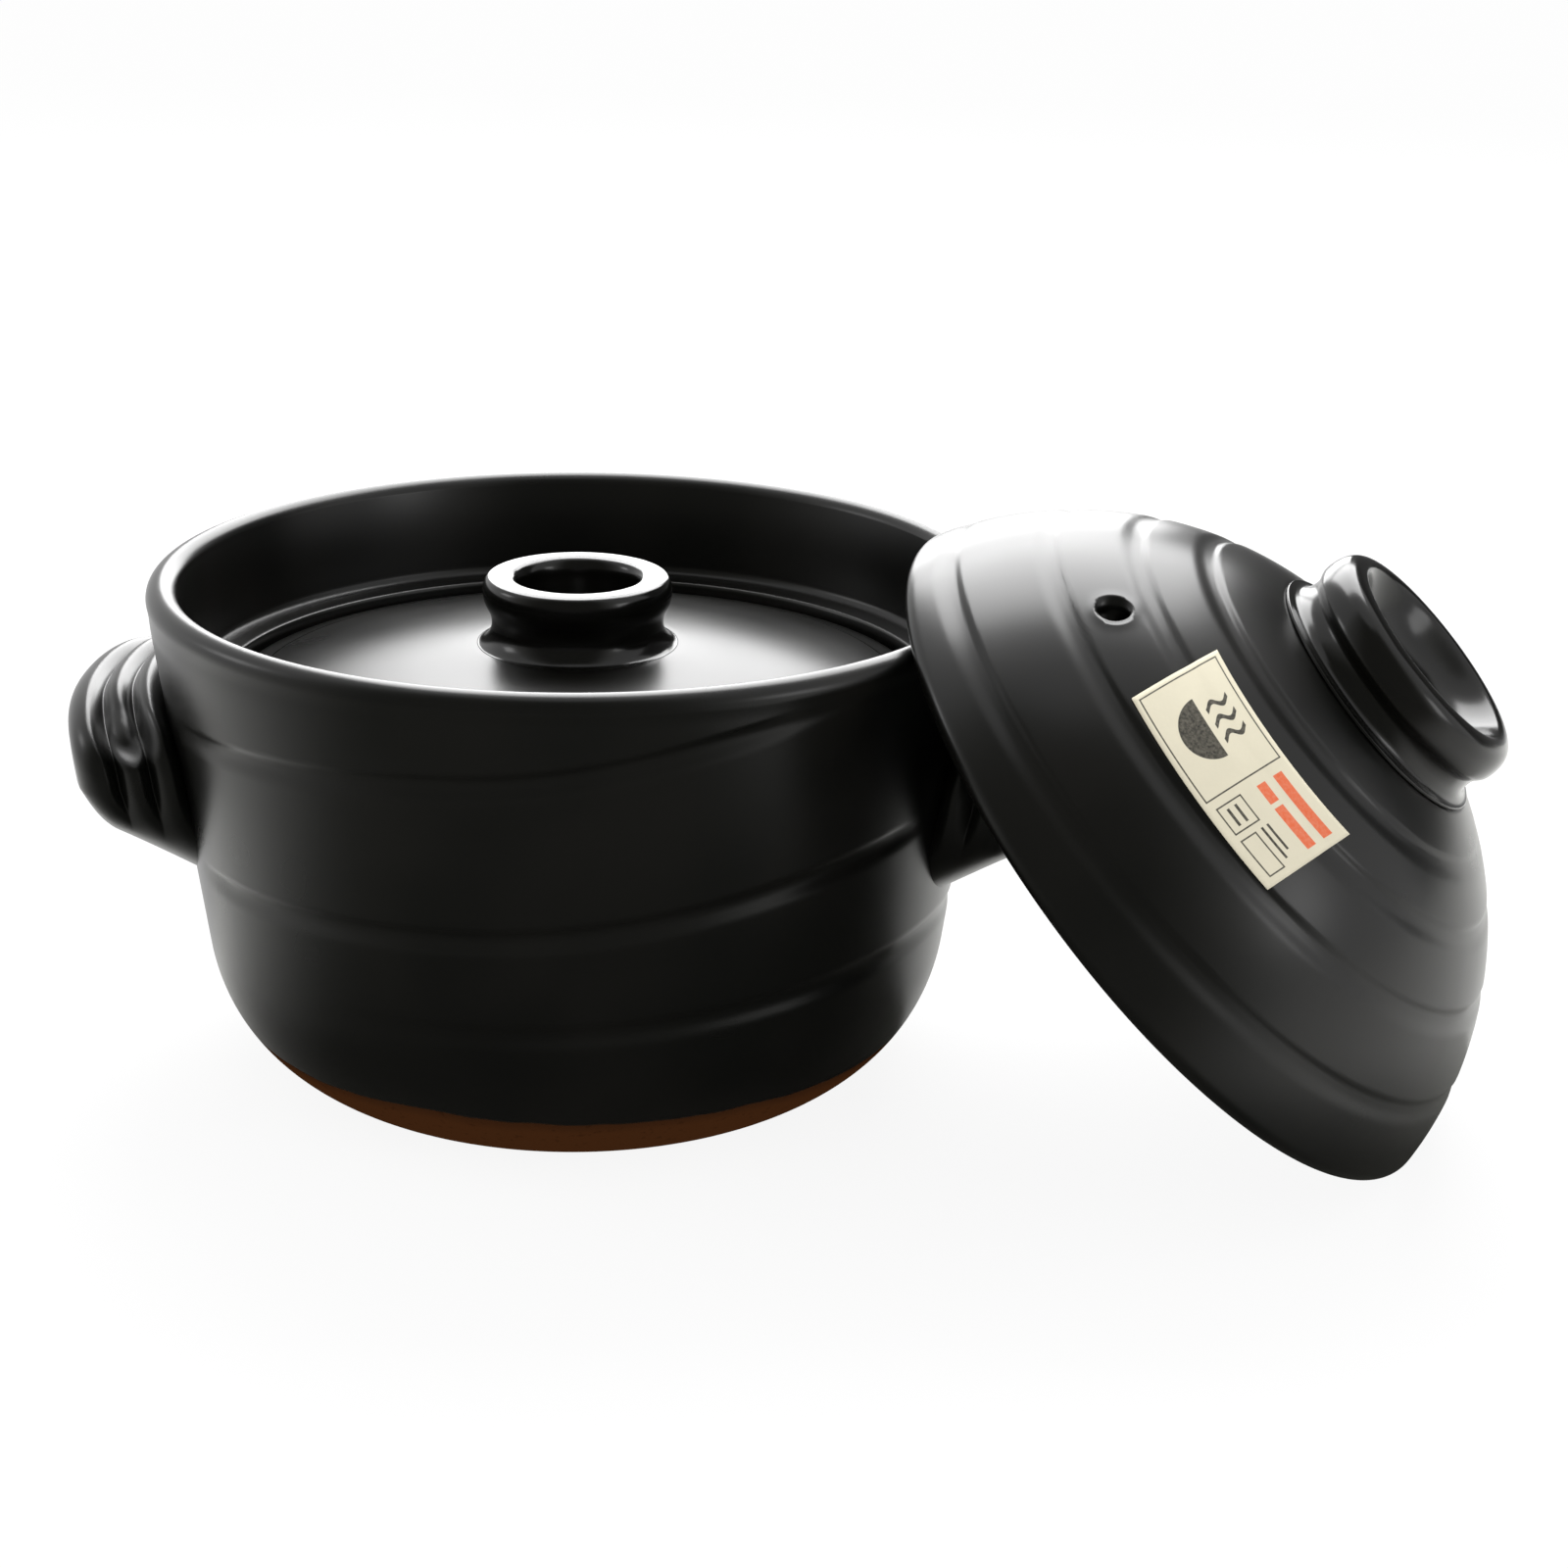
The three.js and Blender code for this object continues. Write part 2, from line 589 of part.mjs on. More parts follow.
const innerLidGroup = new THREE.Group();
innerLidGroup.add(
  piece('inner_lid', innerLid, GLAZE),
  piece('inner_lid_knob', innerKnob, GLAZE),
);

const outerLidGroup = new THREE.Group();
outerLidGroup.add(
  piece('outer_lid', outerLid, GLAZE),
  piece('outer_lid_knob', knobGeometry(), GLAZE),
  piece('paper_label', labelGeometry(), PAPER),
);
const obstacles = [pot, rightEar, innerLid, innerKnob].map(solidOf);
outerLidGroup.applyMatrix4(leanMatrix(leanDistance(outerLid, obstacles)));

const ricePot = new THREE.Group();
ricePot.name = 'rice_pot';
ricePot.add(potGroup, innerLidGroup, outerLidGroup);

export default ricePot;
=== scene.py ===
"""A black stoneware rice pot with its inner lid in place and its outer lid leaning on the lip."""

import json
import math

import bpy
import numpy as np
from mathutils import Matrix, Vector


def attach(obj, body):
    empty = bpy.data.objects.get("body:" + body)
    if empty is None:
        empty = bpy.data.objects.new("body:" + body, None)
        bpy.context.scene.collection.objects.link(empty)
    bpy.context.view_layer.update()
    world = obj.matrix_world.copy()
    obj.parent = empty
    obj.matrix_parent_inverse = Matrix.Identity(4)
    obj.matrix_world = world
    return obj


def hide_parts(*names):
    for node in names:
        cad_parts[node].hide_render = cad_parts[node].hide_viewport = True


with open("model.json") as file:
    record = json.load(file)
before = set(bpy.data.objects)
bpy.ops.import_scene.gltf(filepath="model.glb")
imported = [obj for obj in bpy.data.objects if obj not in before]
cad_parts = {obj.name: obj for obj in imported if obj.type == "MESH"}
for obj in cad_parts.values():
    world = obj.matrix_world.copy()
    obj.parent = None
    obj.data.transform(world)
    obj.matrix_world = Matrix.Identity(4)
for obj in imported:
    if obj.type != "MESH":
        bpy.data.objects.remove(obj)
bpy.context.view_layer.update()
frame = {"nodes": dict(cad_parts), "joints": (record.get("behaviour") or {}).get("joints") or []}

bl_info = {
    "name": "Rice Pot",
    "version": (1, 0, 0),
    "blender": (4, 5, 0),
    "location": "3D View > Sidebar > Rice Pot",
    "description": "Builds a glazed rice pot, its two lids and a small studio",
    "category": "Add Mesh",
}

MM = 0.001
TURN = 2 * math.pi


def millimetres(size, description):
    """A length property whose default is given in millimetres."""
    return bpy.props.FloatProperty(description=description, default=size * MM, unit="LENGTH", precision=4)


def degrees(size, description):
    """An angle property whose default is given in degrees."""
    return bpy.props.FloatProperty(description=description, default=math.radians(size), unit="ROTATION")


def number(size, description):
    """A plain number property."""
    return bpy.props.FloatProperty(description=description, default=size)


def colour(value, description):
    """A colour property in linear red, green and blue."""
    return bpy.props.FloatVectorProperty(
        description=description, default=value, subtype="COLOR", min=0, max=1
    )


class PotSizes(bpy.types.PropertyGroup):
    """Sizes of the thrown pot."""

    rim_radius: millimetres(103, "Outside radius of the lip")
    height: millimetres(124, "Height from the table to the lip")
    lip_bead: millimetres(3.7, "Radius of the rounded lip")
    neck_drop: millimetres(12, "Depth of the neck under the lip")
    neck_depth: millimetres(1, "How far the neck stands in from the rim")
    wall_flare: millimetres(11.6, "How far the rim overhangs the bowl")
    bowl_height: millimetres(34, "Height where the bowl meets the wall")
    foot_inset: millimetres(25.4, "How far the foot stands in from the bowl")
    foot_rise: degrees(24, "Slope of the bowl where it leaves the foot")
    foot_pull: millimetres(18, "Fullness of the bowl at the foot")
    wall_pull: millimetres(13, "Fullness of the bowl under the wall")
    collar_wall: millimetres(8.5, "Wall thickness at the collar")
    ledge_drop: millimetres(26.5, "Depth of the ledge under the lip")
    ledge_width: millimetres(7.9, "Width of the outer lid's ledge")
    ledge_fillet: millimetres(2.5, "Round between collar and ledge")
    seat_drop: millimetres(9, "Depth of the inner lid's seat under the ledge")
    seat_width: millimetres(7.6, "Width of the inner lid's seat")
    seat_lip: millimetres(3, "Thickness of the seat's edge")
    cove_wall: millimetres(13.5, "Wall thickness under the seat")
    cove_height: millimetres(10, "Height of the slope under the seat")
    bowl_wall: millimetres(9, "Wall thickness of the bowl")
    base_thickness: millimetres(9, "Thickness of the floor")
    floor_round: millimetres(31, "Round between bowl and floor")
    edge_round: millimetres(1.2, "Softness of the ledge and seat edges")
    groove_depth: millimetres(0.8, "Depth of the throwing groove")
    groove_start: millimetres(41, "Height of the first groove")
    groove_rise: millimetres(16.1, "Rise of the groove in its first turn")
    groove_gain: millimetres(6.8, "Growth of that rise with each turn")
    groove_azimuth: degrees(230, "Where the first groove begins")
    groove_turns: number(3.1, "Turns of the spiral groove")


class EarSizes(bpy.types.PropertyGroup):
    """Sizes of the two hand-pressed ears."""

    drop: millimetres(45.5, "Depth of the ear's root under the lip")
    half_angle: degrees(26, "Half the ear's reach round the wall")
    out: millimetres(23.6, "Thickness of the ear")
    up: millimetres(22.4, "Reach of the ear above its root")
    down: millimetres(26.8, "Reach of the ear below its root")
    root: millimetres(4, "Depth of the ear's root inside the wall")
    edge: millimetres(4.8, "Round between the strands and the face")
    fullness: number(0.7, "How blunt the outline's corners are")
    face_lean: number(0.14, "How much thinner the ear is at its foot")
    end_taper: number(0.3, "Slope of the ends")
    top_taper: number(0.22, "Slope of the top")
    foot_taper: number(0.6, "Slope of the underside")
    strands: bpy.props.IntProperty(description="Number of strands", default=3, min=1)
    strand_pitch: millimetres(7.4, "Distance from strand to strand")
    strand_depth: millimetres(2.9, "Depth of the grooves between strands")
    thumb_rise: millimetres(14, "Height of the thumb's dent above the root")
    thumb_out: millimetres(11, "Distance of the dent from the wall")
    thumb_radius: millimetres(8.4, "Radius of the thumb's dent")
    thumb_flat: millimetres(2, "Radius of the dent's flat middle")
    thumb_depth: millimetres(4.2, "Depth of the dent")


class InnerLidSizes(bpy.types.PropertyGroup):
    """Sizes of the inner lid and its ring knob."""

    fit: millimetres(1.6, "Clearance round the lid's edge")
    edge: millimetres(6.2, "Height of the lid's edge")
    edge_round: millimetres(1.235, "Round of that edge")
    bevel: millimetres(12, "Width of the sloping border")
    bevel_rise: millimetres(3.2, "Rise of the sloping border")
    crown: millimetres(7.6, "Rise from the border to the knob")
    belly: number(0.7, "How early the crown rises")
    wall: millimetres(7, "Thickness of the plate")
    vent: millimetres(4, "Radius of the vent under the knob")
    ring: millimetres(23, "Largest radius of the ring knob")
    ring_drop: millimetres(3.6, "Depth of that radius under the knob's top")
    ring_edge: millimetres(1.7, "How far the top's edge stands in from that radius")
    top_width: millimetres(4.5, "Width of the knob's flat top")
    waist: millimetres(2.1, "Depth of the waist under the ring")
    waist_drop: millimetres(11.6, "Depth of the waist under the knob's top")
    flare: millimetres(1.5, "How far the knob's foot passes the ring")
    well_round: millimetres(2.2, "Round between the top and the well")
    well_taper: millimetres(1.7, "Narrowing of the knob's well")
    knob_height: millimetres(16.6, "Height of the ring knob")


class OuterLidSizes(bpy.types.PropertyGroup):
    """Sizes of the domed outer lid, its knob and its label."""

    fit: millimetres(2.1, "Clearance to the pot's collar")
    bead: millimetres(3.5, "Radius of the rounded rim")
    lean_in: degrees(17, "Slope of the dome at the rim")
    rim_pull: millimetres(26.6, "Fullness of the dome at the rim")
    crown_height: millimetres(64, "Height of the knob's seat")
    crown_slope: degrees(18, "Slope of the dome at the knob")
    crown_pull: millimetres(31, "Fullness of the dome at the knob")
    groove_depth: millimetres(0.5, "Depth of the throwing groove")
    groove_start: millimetres(6.8, "Distance of the first groove from the rim")
    groove_rise: millimetres(24.9, "Climb of the groove in its first turn")
    groove_gain: millimetres(-1.5, "Change of that climb with each turn")
    groove_azimuth: degrees(140, "Where the first groove begins")
    groove_turns: number(3.7, "Turns of the spiral groove")
    hole_radius: millimetres(4, "Radius of the steam hole")
    hole_azimuth: degrees(214.5, "Direction of the steam hole")
    hole_arc: millimetres(43, "Distance of the hole from the rim")
    knob_ring: millimetres(30.2, "Largest radius of the knob")
    knob_ring_height: millimetres(10, "Height of that radius")
    knob_flare: millimetres(2.2, "How far the knob's foot passes the ring")
    knob_foot_edge: millimetres(0.8, "Height of the foot's edge")
    knob_waist: millimetres(1.4, "Depth of the waist under the ring")
    knob_waist_height: millimetres(5.2, "Height of the waist")
    knob_lip_inset: millimetres(5.6, "How far the lip stands in from the ring")
    knob_lip_rise: millimetres(7, "Height of the lip above the ring")
    dish_inset: millimetres(3.2, "Width of the lip's inner round")
    dish_depth: millimetres(10.5, "Depth of the dished top")
    label_length: millimetres(51, "Length of the paper label")
    label_width: millimetres(24.5, "Width of the paper label")
    label_thickness: millimetres(0.4, "Thickness of the paper label")
    label_azimuth: degrees(254.5, "Direction of the label")
    label_arc: millimetres(50, "Distance of the label from the rim")


class Finish(bpy.types.PropertyGroup):
    """Colours of the glaze, the bare clay darkened with painted shade, and the paper."""

    glaze: colour((0.0017, 0.0018, 0.0014), "Black glaze")
    glaze_thin: colour((0.0036, 0.0033, 0.0026), "Glaze where it breaks brown")
    glaze_roughness: number(0.295, "Softness of the glaze's shine")
    knob_roughness: number(0.195, "Softness of the shine on the two knobs")
    glaze_ior: number(1.42, "Refractive index of the matt glaze")
    # Both clay colours are set darker than the clay's own brown, as painted shade on the foot.
    clay: colour((0.047, 0.0165, 0.0055), "Bare clay of the foot")
    toasted_and_shaded: colour((0.031, 0.0115, 0.0045), "Toasted clay at the glaze line")
    glaze_line: millimetres(16.3, "Height where the glaze ends")
    paper: colour((0.72, 0.67, 0.52), "Label paper")
    ink: colour((0.012, 0.011, 0.01), "Black print of the label")
    warm_ink: colour((0.72, 0.12, 0.035), "Orange print of the label")


class Studio(bpy.types.PropertyGroup):
    """Camera, floor and light."""

    eye: bpy.props.FloatVectorProperty(
        description="Place of the camera", default=(0.0734, -0.7326, 0.3271), unit="LENGTH"
    )
    dip: degrees(19.31, "How far the camera looks down")
    heading: degrees(1.75, "How far the camera is turned to the left")
    roll: degrees(1.03, "How far the camera is tipped")
    lens: number(72, "Focal length in millimetres on a 36 mm sensor")
    floor: colour((0.86, 0.86, 0.86), "Pale floor")


# Points along curves, and rows and columns of surfaces
CORNER_SAMPLES = 6
FILLET_SAMPLES = 8
WELL_WALL_SAMPLES = 10
WELL_SAMPLES = 14
NECK_SAMPLES = 16
KNOB_SAMPLES = 18
KNOB_LIP_SAMPLES = 22
RIM_SAMPLES = 24
CURVE_SAMPLES = 28
DISH_SAMPLES = 40
WALL_SAMPLES = 90
DOME_SAMPLES = 600
POT_COLUMNS = 320
PLATE_COLUMNS = 288
PLATE_SPACING = 2.5 * MM
LID_COLUMNS = 336
LID_ROWS = 132
KNOB_COLUMNS = 192
EAR_SIDE_ROWS = 90
EAR_EDGE_ROWS = 16
EAR_FACE_ROWS = 24
EAR_COLUMNS = 220
LABEL_ROWS = 25
LABEL_COLUMNS = 53
FLOOR_COLUMNS = 48
HOLE_ROWS = 5
HOLE_COLUMNS = 3
SAME_PLACE = 1e-7
TINY = 1e-9

# Throwing groove: its edges and floor, and how it fades at its ends (in turns) and near other forms
GROOVE_EDGE = 0.6 * MM
GROOVE_FLOOR = 2.2 * MM
GROOVE_SOFTNESS = 4 * MM
GROOVE_FADE_IN = 0.2
GROOVE_FADE_OUT = 0.3
GROOVE_FOOT = (10 * MM, 18 * MM)
GROOVE_LIP = 6 * MM
GROOVE_RIM = 3 * MM
GROOVE_CROWN = 6 * MM
EAR_FADE = 0.2
EAR_FADE_LOW = 10 * MM
EAR_FADE_HIGH = 3 * MM
SURGE_UP = (math.radians(262), math.radians(332))
SURGE_DOWN = (math.radians(336), TURN)
SURGE_FIRST = 3 * MM
SURGE_GAIN = 5 * MM

# Small forms of the pot and ears
LIP_START = -0.25
LIP_END = 0.9 * math.pi
LIP_PULL = 8
NECK_PULL = 5 * MM
FOOT_ROUND = 0.8 * MM
STRAND_SHARPNESS = 0.8
FACE_SWELL = 0.8 * MM
STRAND_FADE = (-0.62, 0.1)
THUMB_FADE = (0.35, 0.7)
THUMB_SINK = 0.4

# Small forms of the lids, knobs and label
SEAT_GAP = 0.3 * MM
VENT_ROUND = 0.6 * MM
HOLLOW_FULLNESS = 0.6
PLATE_MARGIN = 0.7 * MM
RING_GAP = 0.05 * MM
RING_TOP_SWELL = 0.25 * MM
CROWN_MARGIN = 0.3 * MM
HOLE_REACH = 4
HOLE_LIP = 0.25 * MM
HOLE_LIP_WIDTH = 0.4
KNOB_GAP = 0.15 * MM
KNOB_FOOT_TOP = 1 * MM
KNOB_FOOT_ROUND = 0.25 * MM
DISH_SLOPE = 1.5 * MM
DISH_FLAT = 0.55
LABEL_GAP = 0.1 * MM
LABEL_SAG = 0.3

# Noises: cells per metre, detail and roughness
GLAZE_CLOUDS = (34, 1, 0.4)
GLAZE_WAVER = (26, 3, 0.5)
CLAY_GRAIN = (1500, 3, 0.6)
CLAY_SPECKLE = (520, 2, 0.5)
PAPER_FIBRE = (1400, 4, 0.6)
PAPER_MOTTLE = (160, 3, 0.5)
FLOOR_CLOUDS = (3, 2, 0.5)
CLOTH_WEAVE = (40, 2, 0.5)
SCREEN_WEAVE = (30, 2, 0.5)

# Glaze and clay
THIN_GLAZE = (0.3, 0.75)
SHINE_CHANGE = 0.1
GLAZE_RELIEF = 0.9
GLAZE_BUMP = 0.06 * MM
POT_BUMP = 0.08 * MM
CLAY_BUMP = 0.16 * MM
BUMP_STRENGTH = 0.7
GLAZE_STEP = 3
LINE_WAVER = 6 * MM
LINE_BLUR = 0.4 * MM
TOAST_WIDTH = 4 * MM
TOAST_SHARE = 0.8
GRAIN_SHARE = 0.25
SPECKLE_RANGE = (0.6, 0.72)
SPECKLE_SHARE = 0.35
SPECKLE_SHADE = 0.45

# Paper
PAPER_SHADE = 0.84
MOTTLE_SHARE = 0.5
FIBRE_SHARE = 0.25
PRINT_COVER = 0.7
PRINT_WEAR = 0.4
PAPER_ROUGHNESS = 0.72
PAPER_ROUGHNESS_CHANGE = 0.15
PAPER_INDEX = 1.4
PAPER_BUMP = 0.05 * MM
PAPER_BUMP_STRENGTH = 0.5

# Label print, in millimetres along and across the label: rectangles are left, right, low and high
PRINT_BLUR = 0.08
RULE = 0.35
LABEL_OUTLINES = ((1.2, 28.5, 1.2, 23.3), (30.5, 37.5, 2.2, 9.2), (39, 49, 2.2, 6.6))
LABEL_BLACK_BARS = ((31.8, 36.2, 4.2, 4.9), (31.8, 36.2, 6.3, 7), (39, 47.5, 8, 8.6), (39, 46, 9.6, 10.2))
LABEL_WARM_BARS = ((31, 48.5, 18.6, 21.2), (31, 36, 13.6, 16.2), (37.2, 48.5, 13.6, 16.2))
BOWL_AT = (14.8, 12.4)
BOWL_RADIUS = 7.4
STEAM_PLACES = (-3.8, 0, 3.8)
STEAM_SPAN = (1.6, 8.2)
STEAM_WIDTH = 0.62
STEAM_SWAY = 0.8
STEAM_WAVES = 1.25

# Room, floor and camera
ROOM_LIGHT = 0.35
FLOOR_RINGS = np.array([0, 0.3, 1, 4, 12])
FLOOR_HEIGHT = -0.2 * MM
FLOOR_SHADE = 0.97
FLOOR_PATCHES = 0.3
FLOOR_WHITE = 0.9
SENSOR_WIDTH = 36

# Cloths: name, outline of radius and height in metres, span in degrees of azimuth
CLOTH_COLUMNS = 80
CLOTHS = (
    ("dark_cloth", ((0.072, 0.001), (0.15, 0.001), (0.3, 0.001), (0.9, 0.001), (1.5, 0.03)), (-196, 45)),
    ("dark_hood", ((1.5, 0.03), (1.6, 0.5), (1.5, 1.2), (1.1, 1.9), (0.6, 2.1)), (-172, -30)),
)
SCREEN = ("dark_screen", ((1.4, 0.0), (1.4, 0.5), (1.3, 1.2)), (12, 78))
CLOTH_DARK = ((0.1, 0.1, 0.09), (0.14, 0.14, 0.125))
CLOTH_PALE = (0.68, 0.68, 0.66)
CLOTH_NEAR = (0.2, 0.32)
CLOTH_LEFT = (math.radians(-12), math.radians(48))
CLOTH_RIGHT = (math.radians(118), math.radians(150))
CLOTH_ROUGHNESS = 0.95
SCREEN_DARK = ((0.05, 0.05, 0.05), (0.07, 0.07, 0.07))

# Lamps: name, place, aim, width and height, power
LAMPS = (
    ("back_softbox", (0.08, 0.82, 1.02), (0.08, 0, 0.1), (1.1, 0.95), 27.0),
    ("low_back_softbox", (-0.03, 1.25, 0.42), (-0.03, 0, 0.1), (0.78, 0.45), 6.5),
    ("left_softbox", (-1.1, 0.12, 0.6), (0, 0, 0.1), (0.3, 0.25), 0.8),
    ("right_softbox", (1.0, -0.55, 0.36), (0.15, 0, 0.06), (0.3, 0.3), 0.9),
)


def smooth(value, low, high):
    """Zero below low, one above high and a smooth S between them."""
    part = np.clip((value - low) / (high - low), 0, 1)
    return part * part * (3 - 2 * part)


def bezier(points, count):
    """Points on a Bezier curve: each control point weighted by its Bernstein polynomial."""
    points = np.asarray(points, float)
    t = np.linspace(0, 1, count)[:, None]
    degree = len(points) - 1
    weights = [math.comb(degree, k) * t**k * (1 - t) ** (degree - k) for k in range(degree + 1)]
    return sum(weight * point for weight, point in zip(weights, points))


def arc(centre, radius, start, end, count):
    """Points at a fixed distance from a centre, from one angle to another."""
    angle = np.linspace(start, end, count)
    return np.column_stack([centre[0] + radius * np.cos(angle), centre[1] + radius * np.sin(angle)])


def reach(point, angle, distance):
    """The point that lies a distance along a direction."""
    return np.array([point[0] + distance * math.cos(angle), point[1] + distance * math.sin(angle)])


def softened(points, radius):
    """A polyline with rounded inner corners, each a curve that leaves both sides at that distance."""
    points = [np.asarray(point, float) for point in points]
    parts = [points[:1]]
    for before, corner, after in zip(points, points[1:], points[2:]):
        back = (before - corner) / np.linalg.norm(before - corner)
        ahead = (after - corner) / np.linalg.norm(after - corner)
        parts.append(bezier([corner + radius * back, corner, corner + radius * ahead], CORNER_SAMPLES))
    parts.append(points[-1:])
    return np.vstack(parts)


def dense(points, spacing):
    """The same outline with points added so that none lie further apart than the spacing."""
    parts = []
    for start, end in zip(points, points[1:]):
        count = max(1, math.ceil(np.linalg.norm(end - start) / spacing))
        parts.append(start + (end - start) * np.arange(count)[:, None] / count)
    parts.append(points[-1:])
    return np.vstack(parts)


def distinct(points):
    """The outline without points that repeat the one before."""
    steps = np.linalg.norm(np.diff(points, axis=0), axis=1)
    return points[np.concatenate([[True], steps > SAME_PLACE])]


def outward(profile):
    """Unit normals of an outline that runs with its outside on the right hand."""
    along = np.gradient(profile, axis=0)
    along /= np.linalg.norm(along, axis=1)[:, None]
    return np.column_stack([along[:, 1], -along[:, 0]])


def swept(radius, azimuth, height):
    """Points at radii, azimuths and heights."""
    across, deep = radius * np.cos(azimuth), radius * np.sin(azimuth)
    return np.stack(np.broadcast_arrays(across, deep, height), axis=-1)


def turned(profile, columns, offset=0.0):
    """A profile of radius and height carried round the axis, moved along its normal by an offset."""
    azimuth = np.linspace(0, TURN, columns, endpoint=False)
    normal = outward(profile)
    return swept(profile[:, :1] + offset * normal[:, :1], azimuth, profile[:, 1:] + offset * normal[:, 1:])


def grid_faces(grid, skipped=None, wrap_rows=False):
    """Faces of a grid of vertex numbers whose columns close on themselves: its quads and pole triangles."""
    if wrap_rows:
        grid = np.vstack([grid, grid[:1]])
    beside = np.roll(grid, -1, axis=1)
    quads = np.stack([grid[:-1], beside[:-1], beside[1:], grid[1:]], axis=-1)
    quads = quads.reshape(-1, 4) if skipped is None else quads[~skipped]
    low = quads[:, 0] == quads[:, 1]
    high = quads[:, 2] == quads[:, 3]
    return [quads[~(low | high)], quads[low][:, [0, 2, 3]], quads[high][:, :3]]


def numbered(points):
    """Vertex numbers of a grid, where a row that has shrunk to one place has one number."""
    grid = np.arange(points.shape[0] * points.shape[1]).reshape(points.shape[:2])
    poles = np.ptp(points, axis=1).max(axis=1) < TINY
    grid[poles] = grid[poles][:, :1]
    return grid


def put_object(name, data):
    """An object in the scene."""
    made = bpy.data.objects.new(name, data)
    bpy.context.scene.collection.objects.link(made)
    return made


def new_mesh(name, points, faces, material):
    """A mesh of the points that arrays of faces use, and the number of the point at each face's corner."""
    corners = np.concatenate([part.ravel() for part in faces])
    used, packed = np.unique(corners, return_inverse=True)
    packed = np.split(packed.ravel(), np.cumsum([part.size for part in faces])[:-1])
    mesh = bpy.data.meshes.new(name)
    mesh.from_pydata(
        points.reshape(-1, 3)[used].tolist(),
        [],
        [face for part, plan in zip(packed, faces) for face in part.reshape(plan.shape).tolist()],
    )
    mesh.materials.append(material)
    return mesh, corners


def put_piece(name, points, faces, material, body, uv=None):
    """A smooth mesh object that rides on a body and stands for the node of the same name."""
    mesh, corners = new_mesh(name, points, faces, material)
    if uv is not None:
        layer = mesh.uv_layers.new(name="Sheet")
        layer.data.foreach_set("uv", uv.reshape(-1, 2)[corners].ravel().astype(np.float32))
    mesh.polygons.foreach_set("use_smooth", np.ones(len(mesh.polygons), bool))
    mesh.update()
    piece = put_object(name + ("_glazed" if uv is None else "_printed"), mesh)
    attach(piece, body)
    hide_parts(name)


def turned_piece(name, profile, columns, material, body, place=None, wrap_rows=False):
    """A piece made by carrying a profile round its axis, then set in its place."""
    points = turned(profile, columns)
    faces = grid_faces(numbered(points), wrap_rows=wrap_rows)
    if place is not None:
        points = points @ place[0].T + place[1]
    put_piece(name, points, faces, material, body)


def groove_lift(distance, line, depth):
    """Offset of a finger groove: a crisp edge on its line, then a flat floor, then a soft edge."""
    before = line - distance
    crisp = smooth(before, -GROOVE_EDGE, GROOVE_EDGE)
    soft = 1 - smooth(before, GROOVE_FLOOR, GROOVE_FLOOR + GROOVE_SOFTNESS)
    return -depth * crisp * soft


def spiral(sizes, azimuth, distance, surge=None):
    """Sum of the lifts of a spiral groove's turns at each azimuth and distance along the profile."""
    lead = np.mod((azimuth - sizes.groove_azimuth) / TURN, 1)
    total = np.zeros(np.broadcast(azimuth, distance).shape)
    for whole in range(math.ceil(sizes.groove_turns)):
        turn = lead + whole
        line = sizes.groove_start + sizes.groove_rise * turn + sizes.groove_gain * turn**2
        if surge is not None:
            line = line + surge(whole, azimuth)
        begun = smooth(turn, 0, GROOVE_FADE_IN)
        ended = smooth(turn, sizes.groove_turns - GROOVE_FADE_OUT, sizes.groove_turns)
        total = total + begun * (1 - ended) * groove_lift(distance, line, sizes.groove_depth)
    return total


def pot_wall(sizes):
    """Foot corner, neck corner, bowl's top and the slope of the straight wall."""
    bowl = np.array([sizes.rim_radius - sizes.wall_flare, sizes.bowl_height])
    neck = np.array([sizes.rim_radius - sizes.neck_depth, sizes.height - sizes.neck_drop])
    foot = np.array([bowl[0] - sizes.foot_inset, 0])
    slope = math.atan2(neck[1] - bowl[1], neck[0] - bowl[0])
    return foot, bowl, neck, slope


def wall_radius(sizes, height):
    """Radius of the straight wall's line at a height."""
    _, bowl, _, slope = pot_wall(sizes)
    return bowl[0] + (height - bowl[1]) / math.tan(slope)


